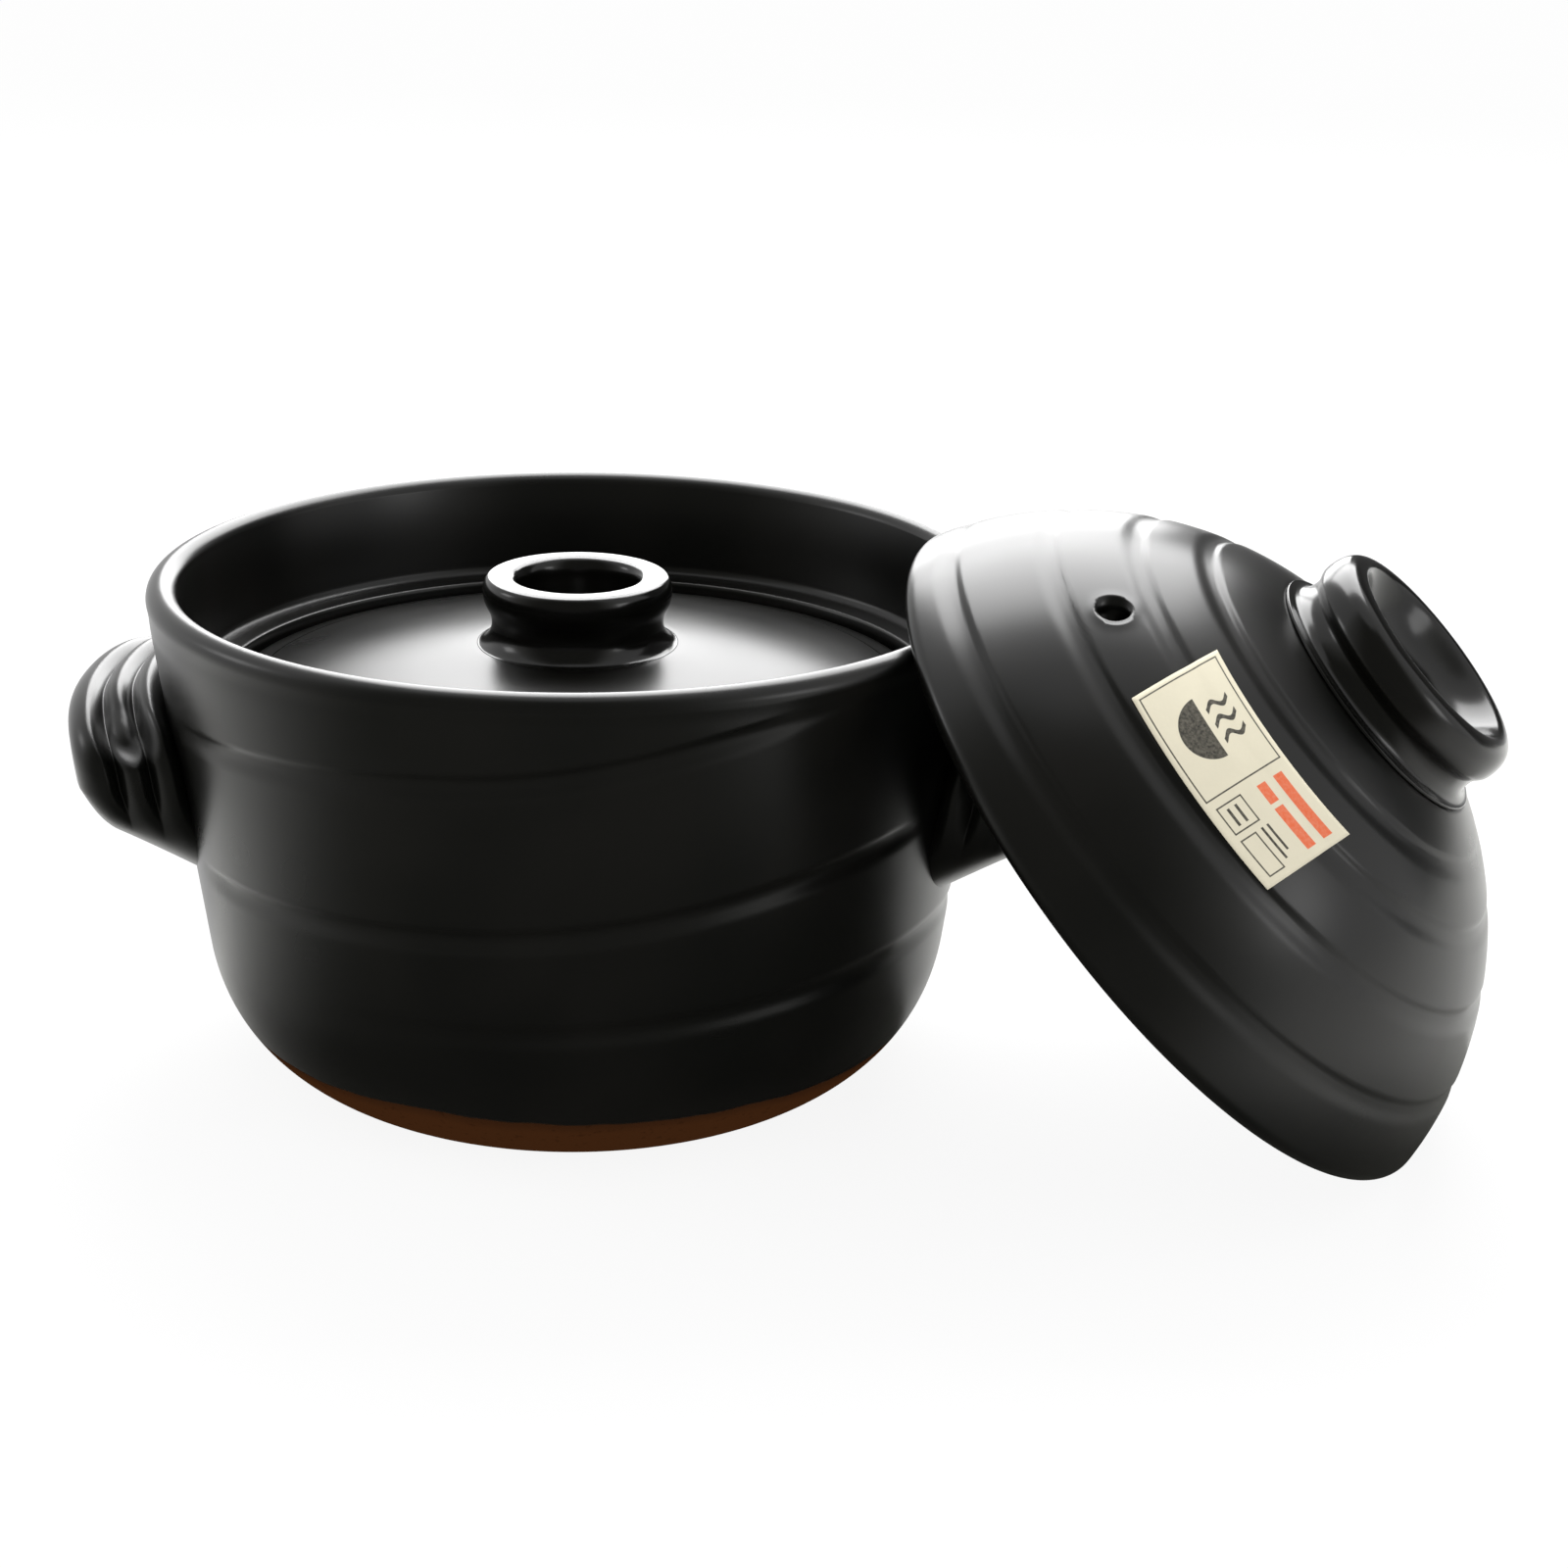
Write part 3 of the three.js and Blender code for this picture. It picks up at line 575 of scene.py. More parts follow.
def pot_profile(sizes):
    """Outline of the pot: foot, bowl, wall and lip outside; collar, ledge, seat, cove and floor inside."""
    foot, bowl, neck, slope = pot_wall(sizes)
    from_foot = reach(foot, sizes.foot_rise, sizes.foot_pull)
    to_wall = reach(bowl, slope + math.pi, sizes.wall_pull)
    outside = bezier([foot, from_foot, to_wall, bowl], CURVE_SAMPLES)
    lip_centre = (sizes.rim_radius - sizes.lip_bead, sizes.height - sizes.lip_bead)
    lip = arc(lip_centre, sizes.lip_bead, LIP_START, LIP_END, CURVE_SAMPLES)
    under_lip = lip[0] - (lip[1] - lip[0]) * LIP_PULL
    hip = bezier([neck, reach(neck, slope, NECK_PULL), under_lip, lip[0]], NECK_SAMPLES)
    collar = sizes.rim_radius - sizes.collar_wall
    ledge = collar - sizes.ledge_width
    seat = ledge - sizes.seat_width
    ledge_height = sizes.height - sizes.ledge_drop
    seat_height = ledge_height - sizes.seat_drop
    seat_foot = seat_height - sizes.seat_lip
    cove_foot = seat_foot - sizes.cove_height
    fillet_centre = (collar - sizes.ledge_fillet, ledge_height + sizes.ledge_fillet)
    fillet = arc(fillet_centre, sizes.ledge_fillet, 0, -math.pi / 2, FILLET_SAMPLES)
    steps = softened(
        [
            fillet[-1],
            (ledge, ledge_height),
            (ledge, seat_height),
            (seat, seat_height),
            (seat, seat_foot),
            (wall_radius(sizes, cove_foot) - sizes.cove_wall, cove_foot),
        ],
        sizes.edge_round,
    )
    side = bowl[0] - sizes.bowl_wall
    floor = sizes.base_thickness
    hollow = bezier([(side, bowl[1]), (side, floor), (side - sizes.floor_round, floor)], NECK_SAMPLES)
    base = softened([(0, 0), foot, outside[1]], FOOT_ROUND)
    wall = bowl + (neck - bowl) * np.linspace(0, 1, WALL_SAMPLES)[:, None]
    outer = np.vstack([base[:-1], outside[1:], wall[1:], hip[1:]])
    inner = np.vstack([lip[1:], fillet, steps[1:], hollow, [(0, floor)]])
    return distinct(outer), distinct(inner)


def make_pot(sizes, ears, material):
    """The pot's outline carried round its axis, with the throwing groove cut into the outside."""
    outer, inner = pot_profile(sizes)
    profile = np.vstack([outer, inner])
    azimuth = np.linspace(0, TURN, POT_COLUMNS, endpoint=False)[None, :]
    height = profile[:, 1:]
    ear_foot = sizes.height - ears.drop - ears.down
    from_ear = np.arcsin(np.abs(np.sin(azimuth)))
    beside = smooth(from_ear, ears.half_angle, ears.half_angle + EAR_FADE)
    below = 1 - smooth(height, ear_foot - EAR_FADE_LOW, ear_foot + EAR_FADE_HIGH)

    def surge(whole, azimuth):
        """The groove sweeps up as it comes to the right ear."""
        rise = smooth(azimuth, *SURGE_UP) * (1 - smooth(azimuth, *SURGE_DOWN))
        return (SURGE_FIRST + SURGE_GAIN * whole) * rise

    outside = np.arange(len(profile))[:, None] < len(outer)
    above = smooth(height, sizes.height - sizes.neck_drop, sizes.height - GROOVE_LIP)
    on_wall = outside * smooth(height, *GROOVE_FOOT) * (1 - above)
    lift = spiral(sizes, azimuth, height, surge) * np.maximum(beside, below)
    points = turned(profile, POT_COLUMNS, lift * on_wall)
    put_piece("pot_body", points, grid_faces(numbered(points)), material, "pot")


def ear_rows(ears):
    """Share of the outline, distance from the wall, groove and edge of each row, from root to face."""
    side = np.linspace(0, ears.strand_pitch * (ears.strands - 0.5), EAR_SIDE_ROWS)
    groove = 1 - np.abs(np.sin(math.pi * side / ears.strand_pitch)) ** STRAND_SHARPNESS
    turn = np.linspace(0, math.pi / 2, EAR_EDGE_ROWS)[1:]
    edge_out = side[-1] + (ears.out - side[-1]) * np.sin(turn)
    edge = ears.edge * (1 - np.cos(turn))
    face = np.linspace(1, 0, EAR_FACE_ROWS)[1:]
    share = np.concatenate([[0, 1], np.ones(len(side) + len(edge)), face])
    out = np.concatenate([[-ears.root] * 2, side, edge_out, np.full(len(face), ears.out)])
    out = out + FACE_SWELL * (1 - share**2) * (out > 0)
    groove = np.concatenate([[0, 0], groove, np.zeros(len(edge) + len(face))])
    edge = np.concatenate([np.zeros(2 + len(side)), edge, np.full(len(face), ears.edge)])
    return [values[:, None] for values in (share, out, groove, edge)]


def make_ear(name, facing, sizes, ears, material):
    """A lug on the wall: rounded oblongs stacked outwards, waved into strands and dented by a thumb."""
    share, out, groove, edge = ear_rows(ears)
    turn = np.linspace(0, TURN, EAR_COLUMNS, endpoint=False)[None, :]
    side, lift = (np.sign(wave) * np.abs(wave) ** ears.fullness for wave in (np.cos(turn), np.sin(turn)))
    inset = edge + ears.strand_depth * groove * smooth(lift, *STRAND_FADE)
    above = lift > 0
    slope = np.where(above, ears.top_taper, ears.foot_taper)
    rise = share * lift * (np.where(above, ears.up, ears.down) - inset - slope * out)
    apart = np.hypot(rise - ears.thumb_rise, out - ears.thumb_out)
    pressed = 1 - smooth(apart, ears.thumb_flat, ears.thumb_radius)
    pressed = pressed * smooth(np.abs(side), *THUMB_FADE)
    dent = ears.thumb_depth * pressed
    inset = inset * (1 - pressed * (groove > 0))
    rise = rise - THUMB_SINK * dent * share * above
    reach_round = ears.half_angle - (inset + dent + ears.end_taper * out) / sizes.rim_radius
    height = sizes.height - ears.drop + rise
    lean = 1 + ears.face_lean * np.minimum(0, share * lift)
    points = swept(wall_radius(sizes, height) + out * lean, facing + share * side * reach_round, height)
    put_piece(name, points, grid_faces(numbered(points)), material, "pot")


def inner_heights(pot, lid):
    """Heights of the inner lid's foot, shoulder and knob seat."""
    foot = pot.height - pot.ledge_drop - pot.seat_drop + SEAT_GAP
    shoulder = foot + lid.edge + lid.bevel_rise
    return foot, shoulder, shoulder + lid.crown


def make_inner_lid(pot, lid, material):
    """A crowned plate with a sloping border, hollow below, carried round the axis."""
    foot, shoulder, seat = inner_heights(pot, lid)
    ledge = pot.rim_radius - pot.collar_wall - pot.ledge_width
    radius = ledge - lid.fit
    hollow_edge = ledge - pot.seat_width - lid.fit
    hollow_bend = lid.vent + HOLLOW_FULLNESS * (hollow_edge - lid.vent)
    knob_edge = lid.ring + lid.flare + PLATE_MARGIN
    inner = radius - lid.bevel
    ceiling = seat - lid.wall
    hollow = bezier([(lid.vent, ceiling), (hollow_bend, ceiling), (hollow_edge, foot)], CURVE_SAMPLES)
    crown = bezier(
        [
            ((radius + inner) / 2, (foot + lid.edge + shoulder) / 2),
            (inner, shoulder),
            ((inner + knob_edge) / 2, shoulder + lid.belly * (seat - shoulder)),
            (knob_edge, seat),
        ],
        2 * CURVE_SAMPLES,
    )
    border = [hollow[-1], (radius, foot), (radius, foot + lid.edge), crown[0], crown[1]]
    edge = softened(border, lid.edge_round)
    vent = softened([crown[-1], (lid.vent, seat), (lid.vent, ceiling)], VENT_ROUND)
    profile = np.vstack([hollow, edge[1:-1], crown[1:], vent[1:]])
    turned_piece("inner_lid", distinct(dense(profile, PLATE_SPACING)), PLATE_COLUMNS, material, "inner_lid")


def make_inner_knob(pot, lid, material):
    """A ring: a foot that runs out on the plate, a waist, a swollen side, a flat top and a tapered well."""
    foot = inner_heights(pot, lid)[2] + RING_GAP
    top = foot + lid.knob_height
    base = (lid.ring + lid.flare, foot)
    waist = (lid.ring - lid.waist, top - lid.waist_drop)
    swell = (lid.ring, top - lid.ring_drop)
    edge = lid.ring - lid.ring_edge
    inside = edge - lid.top_width
    wall = inside - lid.well_round
    wall_top = (wall, top - 2 * lid.well_round)
    well = (wall - lid.well_taper, foot)
    between = (waist[1] + swell[1]) / 2
    shoulder = [(swell[0], top - lid.ring_drop / 3), (edge + lid.ring_edge / 2, top)]
    curves = (
        ([base, (lid.ring, foot), (waist[0], (foot + waist[1]) / 2), waist], CURVE_SAMPLES),
        ([waist, (waist[0], between), (swell[0], between), swell], CURVE_SAMPLES),
        ([swell, *shoulder, (edge, top)], CURVE_SAMPLES),
        ([(edge, top), ((edge + inside) / 2, top + RING_TOP_SWELL), (inside, top)], NECK_SAMPLES),
        ([(inside, top), (wall, top), wall_top], WELL_SAMPLES),
        ([wall_top, well], WELL_WALL_SAMPLES),
    )
    profile = np.vstack([[well, (lid.ring, foot)], *(bezier(*curve) for curve in curves)])[:-1]
    turned_piece("inner_lid_knob", distinct(profile), KNOB_COLUMNS, material, "inner_lid", wrap_rows=True)


def lid_place(lid, rim_radius):
    """Turn and middle of the leaning lid: its axis is its joint's and passes through its knob's middle."""
    joint = next(joint for joint in frame["joints"] if joint["child"] == "outer_lid")
    axis = np.array(joint["axis"], float)
    axis /= np.linalg.norm(axis)
    lean = math.acos(axis[2])
    heading = math.atan2(axis[1], axis[0])
    ahead = np.array([math.cos(heading), math.sin(heading), 0])
    downhill = math.cos(lean) * ahead - np.array([0, 0, math.sin(lean)])
    level = np.array([-ahead[1], ahead[0], 0])
    mesh = frame["nodes"]["outer_lid_knob"].data
    corners = np.zeros(3 * len(mesh.vertices))
    mesh.vertices.foreach_get("co", corners)
    knob = corners.reshape(-1, 3).mean(axis=0)
    height = (rim_radius - lid.bead) * math.sin(lean) + lid.bead * (1 - math.cos(lean))
    middle = knob - axis * (knob[2] - height) / axis[2]
    return np.column_stack([downhill, level, axis]), middle


def lid_radius(pot, lid):
    """Outside radius of the outer lid's rim."""
    return pot.rim_radius - pot.collar_wall - lid.fit


def bead_centre(pot, lid):
    """Middle of the outer lid's rounded rim."""
    return np.array([lid_radius(pot, lid) - lid.bead, lid.bead])


def dome_curve(pot, lid):
    """Evenly spaced points on the dome from the rim to the knob's seat, with normals and distances."""
    start = reach(bead_centre(pot, lid), lid.lean_in, lid.bead)
    end = np.array([lid.knob_ring + lid.knob_flare + CROWN_MARGIN, lid.crown_height])
    from_rim = reach(start, lid.lean_in + math.pi / 2, lid.rim_pull)
    curve = bezier([start, from_rim, reach(end, -lid.crown_slope, lid.crown_pull), end], DOME_SAMPLES)
    travel = np.concatenate([[0], np.cumsum(np.linalg.norm(np.diff(curve, axis=0), axis=1))])
    distance = np.linspace(0, travel[-1], LID_ROWS)
    spots = np.column_stack([np.interp(distance, travel, values) for values in curve.T])
    return spots, outward(spots), distance


def raised(dome, at, azimuth, offset):
    """Points of the dome at distances from the rim and azimuths, moved along its normal by an offset."""
    spots, normals, distance = dome
    radius, height, out, up = (np.interp(at, distance, values) for values in (*spots.T, *normals.T))
    return swept(radius + offset * out, azimuth, height + offset * up)


def make_outer_lid(pot, lid, place, material):
    """Two domes a wall apart, joined by a round rim and by the sides of the steam hole."""
    dome = dome_curve(pot, lid)
    spots, _, distance = dome
    azimuth = np.linspace(0, TURN, LID_COLUMNS, endpoint=False)
    row = int(np.argmin(np.abs(distance - lid.hole_arc)))
    column = int(np.argmin(np.abs(azimuth - lid.hole_azimuth)))
    half = LID_COLUMNS // 2
    down = ((np.arange(LID_ROWS) - row) / HOLE_ROWS)[:, None]
    side = ((np.mod(np.arange(LID_COLUMNS) - column + half, LID_COLUMNS) - half) / HOLE_COLUMNS)[None, :]
    square = np.maximum(np.abs(down), np.abs(side))
    rounding = lid.hole_radius * square / np.maximum(np.hypot(down, side), TINY)
    pull = 1 - smooth(square, 1, HOLE_REACH)
    arc_shift = pull * (down * rounding - (distance[:, None] - lid.hole_arc))
    turn_now = np.mod(azimuth[None, :] - lid.hole_azimuth + math.pi, TURN) - math.pi
    turn_shift = pull * (side * rounding / spots[row, 0] - turn_now)
    at = np.clip(distance[:, None] + arc_shift, 0, distance[-1])
    round_at = azimuth[None, :] + turn_shift
    on_dome = smooth(at, 0, GROOVE_RIM) * (1 - smooth(at, distance[-1] - GROOVE_CROWN, distance[-1]))
    lift = spiral(lid, round_at, at) * on_dome
    lip = HOLE_LIP * np.exp(-(((square - 1) / HOLE_LIP_WIDTH) ** 2))
    wall = 2 * lid.bead
    rim = arc(bead_centre(pot, lid), lid.bead, lid.lean_in - math.pi, lid.lean_in, RIM_SAMPLES)[1:-1]
    points = np.concatenate([
        np.broadcast_to((0, 0, lid.crown_height - wall), (1, LID_COLUMNS, 3)),
        raised(dome, at, round_at, -wall)[::-1],
        turned(rim, LID_COLUMNS),
        raised(dome, at, round_at, lift + lip),
        np.broadcast_to((0, 0, lid.crown_height), (1, LID_COLUMNS, 3)),
    ])
    grid = numbered(points)
    outer_first = 1 + LID_ROWS + len(rim)
    rows, columns = np.arange(-HOLE_ROWS, HOLE_ROWS), np.arange(-HOLE_COLUMNS, HOLE_COLUMNS)
    skipped = np.zeros((len(points) - 1, LID_COLUMNS), bool)
    for hole_rows in (outer_first + row + rows, LID_ROWS - row - rows - 1):
        skipped[np.ix_(hole_rows, (column + columns) % LID_COLUMNS)] = True
    edge_down = np.concatenate([0 * columns - HOLE_ROWS, rows, 0 * columns + HOLE_ROWS, -rows])
    edge_side = np.concatenate([columns, 0 * rows + HOLE_COLUMNS, -columns, 0 * rows - HOLE_COLUMNS])
    edge_column = (column + edge_side) % LID_COLUMNS
    outer_loop = grid[outer_first + row + edge_down, edge_column]
    inner_loop = grid[LID_ROWS - row - edge_down, edge_column]
    sides = np.stack([outer_loop, np.roll(outer_loop, -1), np.roll(inner_loop, -1), inner_loop], axis=-1)
    faces = [*grid_faces(grid, skipped), sides]
    put_piece("outer_lid", points @ place[0].T + place[1], faces, material, "outer_lid")


def make_outer_knob(lid, place, material):
    """A flared ring with a waist and a dished top, carried round the lid's axis."""
    foot = lid.crown_height + KNOB_GAP
    foot_top = foot + lid.knob_foot_edge
    flare = lid.knob_ring + lid.knob_flare
    waist = (lid.knob_ring - lid.knob_waist, foot + lid.knob_waist_height)
    ring = (lid.knob_ring, foot + lid.knob_ring_height)
    lip = (ring[0] - lid.knob_lip_inset, ring[1] + lid.knob_lip_rise)
    middle = (waist[1] + ring[1]) / 2
    dish = lip[0] - lid.dish_inset
    floor = lip[1] - lid.dish_depth
    foot_line = [(0, foot), (flare, foot), (flare, foot_top), (flare - KNOB_FOOT_TOP, foot_top)]
    dish_line = [lip, (dish, lip[1]), (dish - DISH_SLOPE, floor), (DISH_FLAT * dish, floor), (0, floor)]
    curves = (
        ([(flare, foot_top), (waist[0], foot_top), waist], KNOB_SAMPLES),
        ([waist, (waist[0], middle), (ring[0], middle), ring], KNOB_SAMPLES),
        ([ring, (ring[0], lip[1]), lip], KNOB_LIP_SAMPLES),
        (dish_line, DISH_SAMPLES),
    )
    foot_edge = softened(foot_line, KNOB_FOOT_ROUND)[:-1]
    profile = distinct(np.vstack([foot_edge, *(bezier(*curve)[1:] for curve in curves)]))
    turned_piece("outer_lid_knob", profile, KNOB_COLUMNS, material, "outer_lid", place=place)


def make_label(pot, lid, place, material):
    """A thin sheet bent over the dome, long side along the rim, closed round its edges."""
    dome = dome_curve(pot, lid)
    spots, _, distance = dome
    across = np.linspace(-0.5, 0.5, LABEL_ROWS)[:, None]
    along = np.linspace(-0.5, 0.5, LABEL_COLUMNS)[None, :]
    at = lid.label_arc + lid.label_width * across + 0 * along
    azimuth = lid.label_azimuth + lid.label_length * along / np.interp(at, distance, spots[:, 0])
    sag = LABEL_SAG * spiral(lid, azimuth, at)
    heights = (lid.label_thickness, LABEL_GAP)
    points = np.concatenate([raised(dome, at, azimuth, height + sag) for height in heights])
    count = LABEL_ROWS * LABEL_COLUMNS
    grid = np.arange(count).reshape(LABEL_ROWS, LABEL_COLUMNS)
    top = np.stack([grid[:-1, :-1], grid[:-1, 1:], grid[1:, 1:], grid[1:, :-1]], axis=-1).reshape(-1, 4)
    loop = np.concatenate([grid[0, :-1], grid[:-1, -1], grid[-1, :0:-1], grid[:0:-1, 0]])
    ahead = np.roll(loop, -1)
    faces = [top, top[:, ::-1] + count, np.stack([ahead, loop, loop + count, ahead + count], axis=-1)]
    uv = np.tile(np.stack(np.broadcast_arrays(along + 0.5, across + 0.5), axis=-1), (2, 1, 1))
    points = points @ place[0].T + place[1]
    put_piece("paper_label", points, faces, material, "outer_lid", uv)


class Value:
    """A shader socket that takes part in sums: each operation adds a Math node."""

    def __init__(self, recipe, socket):
        self.recipe = recipe
        self.socket = socket

    def math(self, operation, *others):
        """A Math node of this value and others."""
        inputs = dict(enumerate((self, *others)))
        return self.recipe.node("ShaderNodeMath", {"operation": operation}, inputs)

    def __add__(self, other):
        return self.math("ADD", other)

    __radd__ = __add__

    def __mul__(self, other):
        return self.math("MULTIPLY", other)

    def __sub__(self, other):
        return self.math("SUBTRACT", other)

    def __rsub__(self, other):
        return self.recipe.node("ShaderNodeMath", {"operation": "SUBTRACT"}, {0: other, 1: self})

    def above(self, low, high):
        """Zero below low, one above high, smooth between."""
        return self.recipe.node(
            "ShaderNodeMapRange",
            {"interpolation_type": "SMOOTHSTEP"},
            {"Value": self, "From Min": low, "From Max": high},
        )


class Recipe:
    """A node tree under construction."""

    def __init__(self, tree):
        self.tree = tree
        self.tree.nodes.clear()

    def node(self, kind, settings=None, inputs=None, output=0):
        """Adds a node: its settings first, then the values or links of its sockets."""
        made = self.tree.nodes.new(kind)
        for key, value in (settings or {}).items():
            setattr(made, key, value)
        for key, value in (inputs or {}).items():
            if isinstance(value, Value):
                self.tree.links.new(value.socket, made.inputs[key])
            else:
                made.inputs[key].default_value = value
        return Value(self, made.outputs[output]) if made.outputs else None

    def place(self):
        """The place on the object."""
        return self.node("ShaderNodeTexCoord", output=3)

    def axis(self, vector, number):
        """One of a vector's three numbers."""
        return self.node("ShaderNodeSeparateXYZ", None, {0: vector}, output=number)

    def mix(self, factor, first, second):
        """A colour between two colours."""
        shades = {6: first, 7: second}
        inputs = {0: factor}
        inputs.update({k: v if isinstance(v, Value) else (*v, 1) for k, v in shades.items()})
        return self.node("ShaderNodeMix", {"data_type": "RGBA"}, inputs, output=2)

    def noise(self, where, scale, detail, roughness):
        """Cloudy noise at a number of cells per metre."""
        inputs = {"Vector": where, "Scale": scale, "Detail": detail, "Roughness": roughness}
        return self.node("ShaderNodeTexNoise", None, inputs)

    def bump(self, height, distance, strength):
        """A surface normal from a height."""
        inputs = {"Height": height, "Distance": distance, "Strength": strength}
        return self.node("ShaderNodeBump", None, inputs)

    def coat(self, inputs):
        """A Principled shader."""
        return self.node("ShaderNodeBsdfPrincipled", None, inputs)

    def mix_shaders(self, factor, first, second):
        """A shader between two shaders."""
        return self.node("ShaderNodeMixShader", None, {0: factor, 1: first, 2: second})

    def close(self, shader):
        """Ends a material in a shader."""
        self.node("ShaderNodeOutputMaterial", None, {"Surface": shader})


def new_recipe(name):
    """A material and its empty recipe."""
    material = bpy.data.materials.new(name)
    material.use_nodes = True
    return material, Recipe(material.node_tree)


def darker(shade, factor):
    """A colour times a factor."""
    return tuple(factor * part for part in shade)


def glaze_shader(recipe, finish, roughness, distance, step=0):
    """Black glaze whose colour, shine and height vary in slow soft clouds, with a step in its height."""
    clouds = recipe.noise(recipe.place(), *GLAZE_CLOUDS)
    height = clouds * GLAZE_RELIEF + step
    return recipe.coat({
        "Base Color": recipe.mix(clouds.above(*THIN_GLAZE), finish.glaze, finish.glaze_thin),
        "Roughness": roughness + (clouds - 0.5) * SHINE_CHANGE,
        "IOR": finish.glaze_ior,
        "Normal": recipe.bump(height, distance, BUMP_STRENGTH),
    })


def glaze_material(name, finish, roughness):
    """Black glaze all over, made when first asked for."""
    if name in bpy.data.materials:
        return bpy.data.materials[name]
    material, recipe = new_recipe(name)
    recipe.close(glaze_shader(recipe, finish, roughness, GLAZE_BUMP))
    return material


def satin_glaze(finish):
    """The glaze of the ears and lids."""
    return glaze_material("satin_black_glaze", finish, finish.glaze_roughness)


def knob_glaze(finish):
    """The shinier glaze of the knobs."""
    return glaze_material("smooth_black_glaze", finish, finish.knob_roughness)


def pot_material(finish):
    """Satin black glaze that ends in a wavering line above a foot of bare brown clay, whose colour is
    darkened as painted shade.
    """
    material, recipe = new_recipe("glaze_over_brown_clay")
    where = recipe.place()
    line = finish.glaze_line
    level = recipe.axis(where, 2) + (recipe.noise(where, *GLAZE_WAVER) - 0.5) * LINE_WAVER
    glazed = level.above(line - LINE_BLUR, line + LINE_BLUR)
    toasted = level.above(line - TOAST_WIDTH, line)
    grain = recipe.noise(where, *CLAY_GRAIN)
    speckle = recipe.noise(where, *CLAY_SPECKLE).above(*SPECKLE_RANGE)
    # Painted shade: the clay colours are darker than the bare clay so the foot looks shaded; the toasted
    # band and speckles are the clay's own.
    clay = recipe.mix(toasted * TOAST_SHARE + grain * GRAIN_SHARE, finish.clay, finish.toasted_and_shaded)
    clay = recipe.mix(speckle * SPECKLE_SHARE, clay, darker(finish.toasted_and_shaded, SPECKLE_SHADE))
    relief = recipe.bump(grain, CLAY_BUMP, BUMP_STRENGTH)
    bare = recipe.node("ShaderNodeBsdfDiffuse", None, {"Color": clay, "Normal": relief})
    covered = glaze_shader(recipe, finish, finish.glaze_roughness, POT_BUMP, glazed * GLAZE_STEP)
    recipe.close(recipe.mix_shaders(glazed, bare, covered))
    return material


def paper_material(finish, lid):
    """Cream paper with fibres, printed with ruled panels, a bowl under three wisps of steam and bars."""
    material, recipe = new_recipe("cream_label_paper")
    sheet = recipe.node("ShaderNodeUVMap", {"uv_map": "Sheet"})
    along = recipe.axis(sheet, 0) * (lid.label_length / MM)
    across = recipe.axis(sheet, 1) * (lid.label_width / MM)
    where = recipe.place()
    fibre = recipe.noise(where, *PAPER_FIBRE)
    mottle = recipe.noise(where, *PAPER_MOTTLE)

    def past(position, edge):
        """One beyond an edge."""
        return position.above(edge - PRINT_BLUR, edge + PRINT_BLUR)

    def within(position, low, high):
        """One between two edges."""
        return past(position, low) * (1 - past(position, high))

    def bar(left, right, low, high):
        """One inside a rectangle."""
        return within(along, left, right) * within(across, low, high)

    def outline(left, right, low, high):
        """One on the edge of a rectangle."""
        return bar(left, right, low, high) - bar(left + RULE, right - RULE, low + RULE, high - RULE)

    def total(marks):
        """The marks together."""
        return sum(marks[1:], marks[0]).math("MINIMUM", 1.0)

    aside, up = along - BOWL_AT[0], across - BOWL_AT[1]
    far = (aside * aside + up * up).math("SQRT")
    bowl = within(far, -1, BOWL_RADIUS) * (1 - past(up, 0))
    swayed = aside - (up * STEAM_WAVES).math("SINE") * STEAM_SWAY
    wisps = [within(swayed - x, -STEAM_WIDTH, STEAM_WIDTH) * within(up, *STEAM_SPAN) for x in STEAM_PLACES]
    rules = [outline(*box) for box in LABEL_OUTLINES]
    black = total([bowl, *wisps, *rules, *(bar(*box) for box in LABEL_BLACK_BARS)])
    warm = total([bar(*box) for box in LABEL_WARM_BARS])
    worn = PRINT_COVER + fibre * PRINT_WEAR
    tone = mottle * MOTTLE_SHARE + fibre * FIBRE_SHARE
    shade = recipe.mix(tone, finish.paper, darker(finish.paper, PAPER_SHADE))
    shade = recipe.mix(warm * worn, shade, finish.warm_ink)
    shade = recipe.mix(black * worn, shade, finish.ink)
    recipe.close(recipe.coat({
        "Base Color": shade,
        "Roughness": PAPER_ROUGHNESS + fibre * PAPER_ROUGHNESS_CHANGE,
        "IOR": PAPER_INDEX,
        "Normal": recipe.bump(fibre, PAPER_BUMP, PAPER_BUMP_STRENGTH),
    }))
    return material


def seen_rays(recipe):
    """One for rays from the camera, a mirror or glass, zero for the light that falls on things."""
    camera, glossy, through = (recipe.node("ShaderNodeLightPath", output=kind) for kind in (0, 5, 8))
    return (camera + glossy + through).math("MINIMUM", 1.0)


def floor_material(studio):
    """Pale floor that the camera and mirrors see close to white, with the pot's shadow kept."""
    material, recipe = new_recipe("pale_floor")
    clouds = recipe.noise(recipe.place(), *FLOOR_CLOUDS)
    shade = recipe.mix(clouds * FLOOR_PATCHES, studio.floor, darker(studio.floor, FLOOR_SHADE))
    matt = recipe.node("ShaderNodeBsdfDiffuse", None, {"Color": shade})
    bright = recipe.node("ShaderNodeEmission", None, {"Color": (1, 1, 1, 1), "Strength": 1.0})
    recipe.close(recipe.mix_shaders(seen_rays(recipe) * FLOOR_WHITE, matt, bright))
    return material


def make_world():
    """A white room to the eye and to the glaze, a dimmer one as a lamp."""
    world = bpy.data.worlds.new("studio_room")
    world.use_nodes = True
    recipe = Recipe(world.node_tree)
    strength = ROOM_LIGHT + seen_rays(recipe) * (1 - ROOM_LIGHT)
    room = recipe.node("ShaderNodeBackground", None, {"Color": (1, 1, 1, 1), "Strength": strength})
    recipe.node("ShaderNodeOutputWorld", None, {"Surface": room})
    bpy.context.scene.world = world


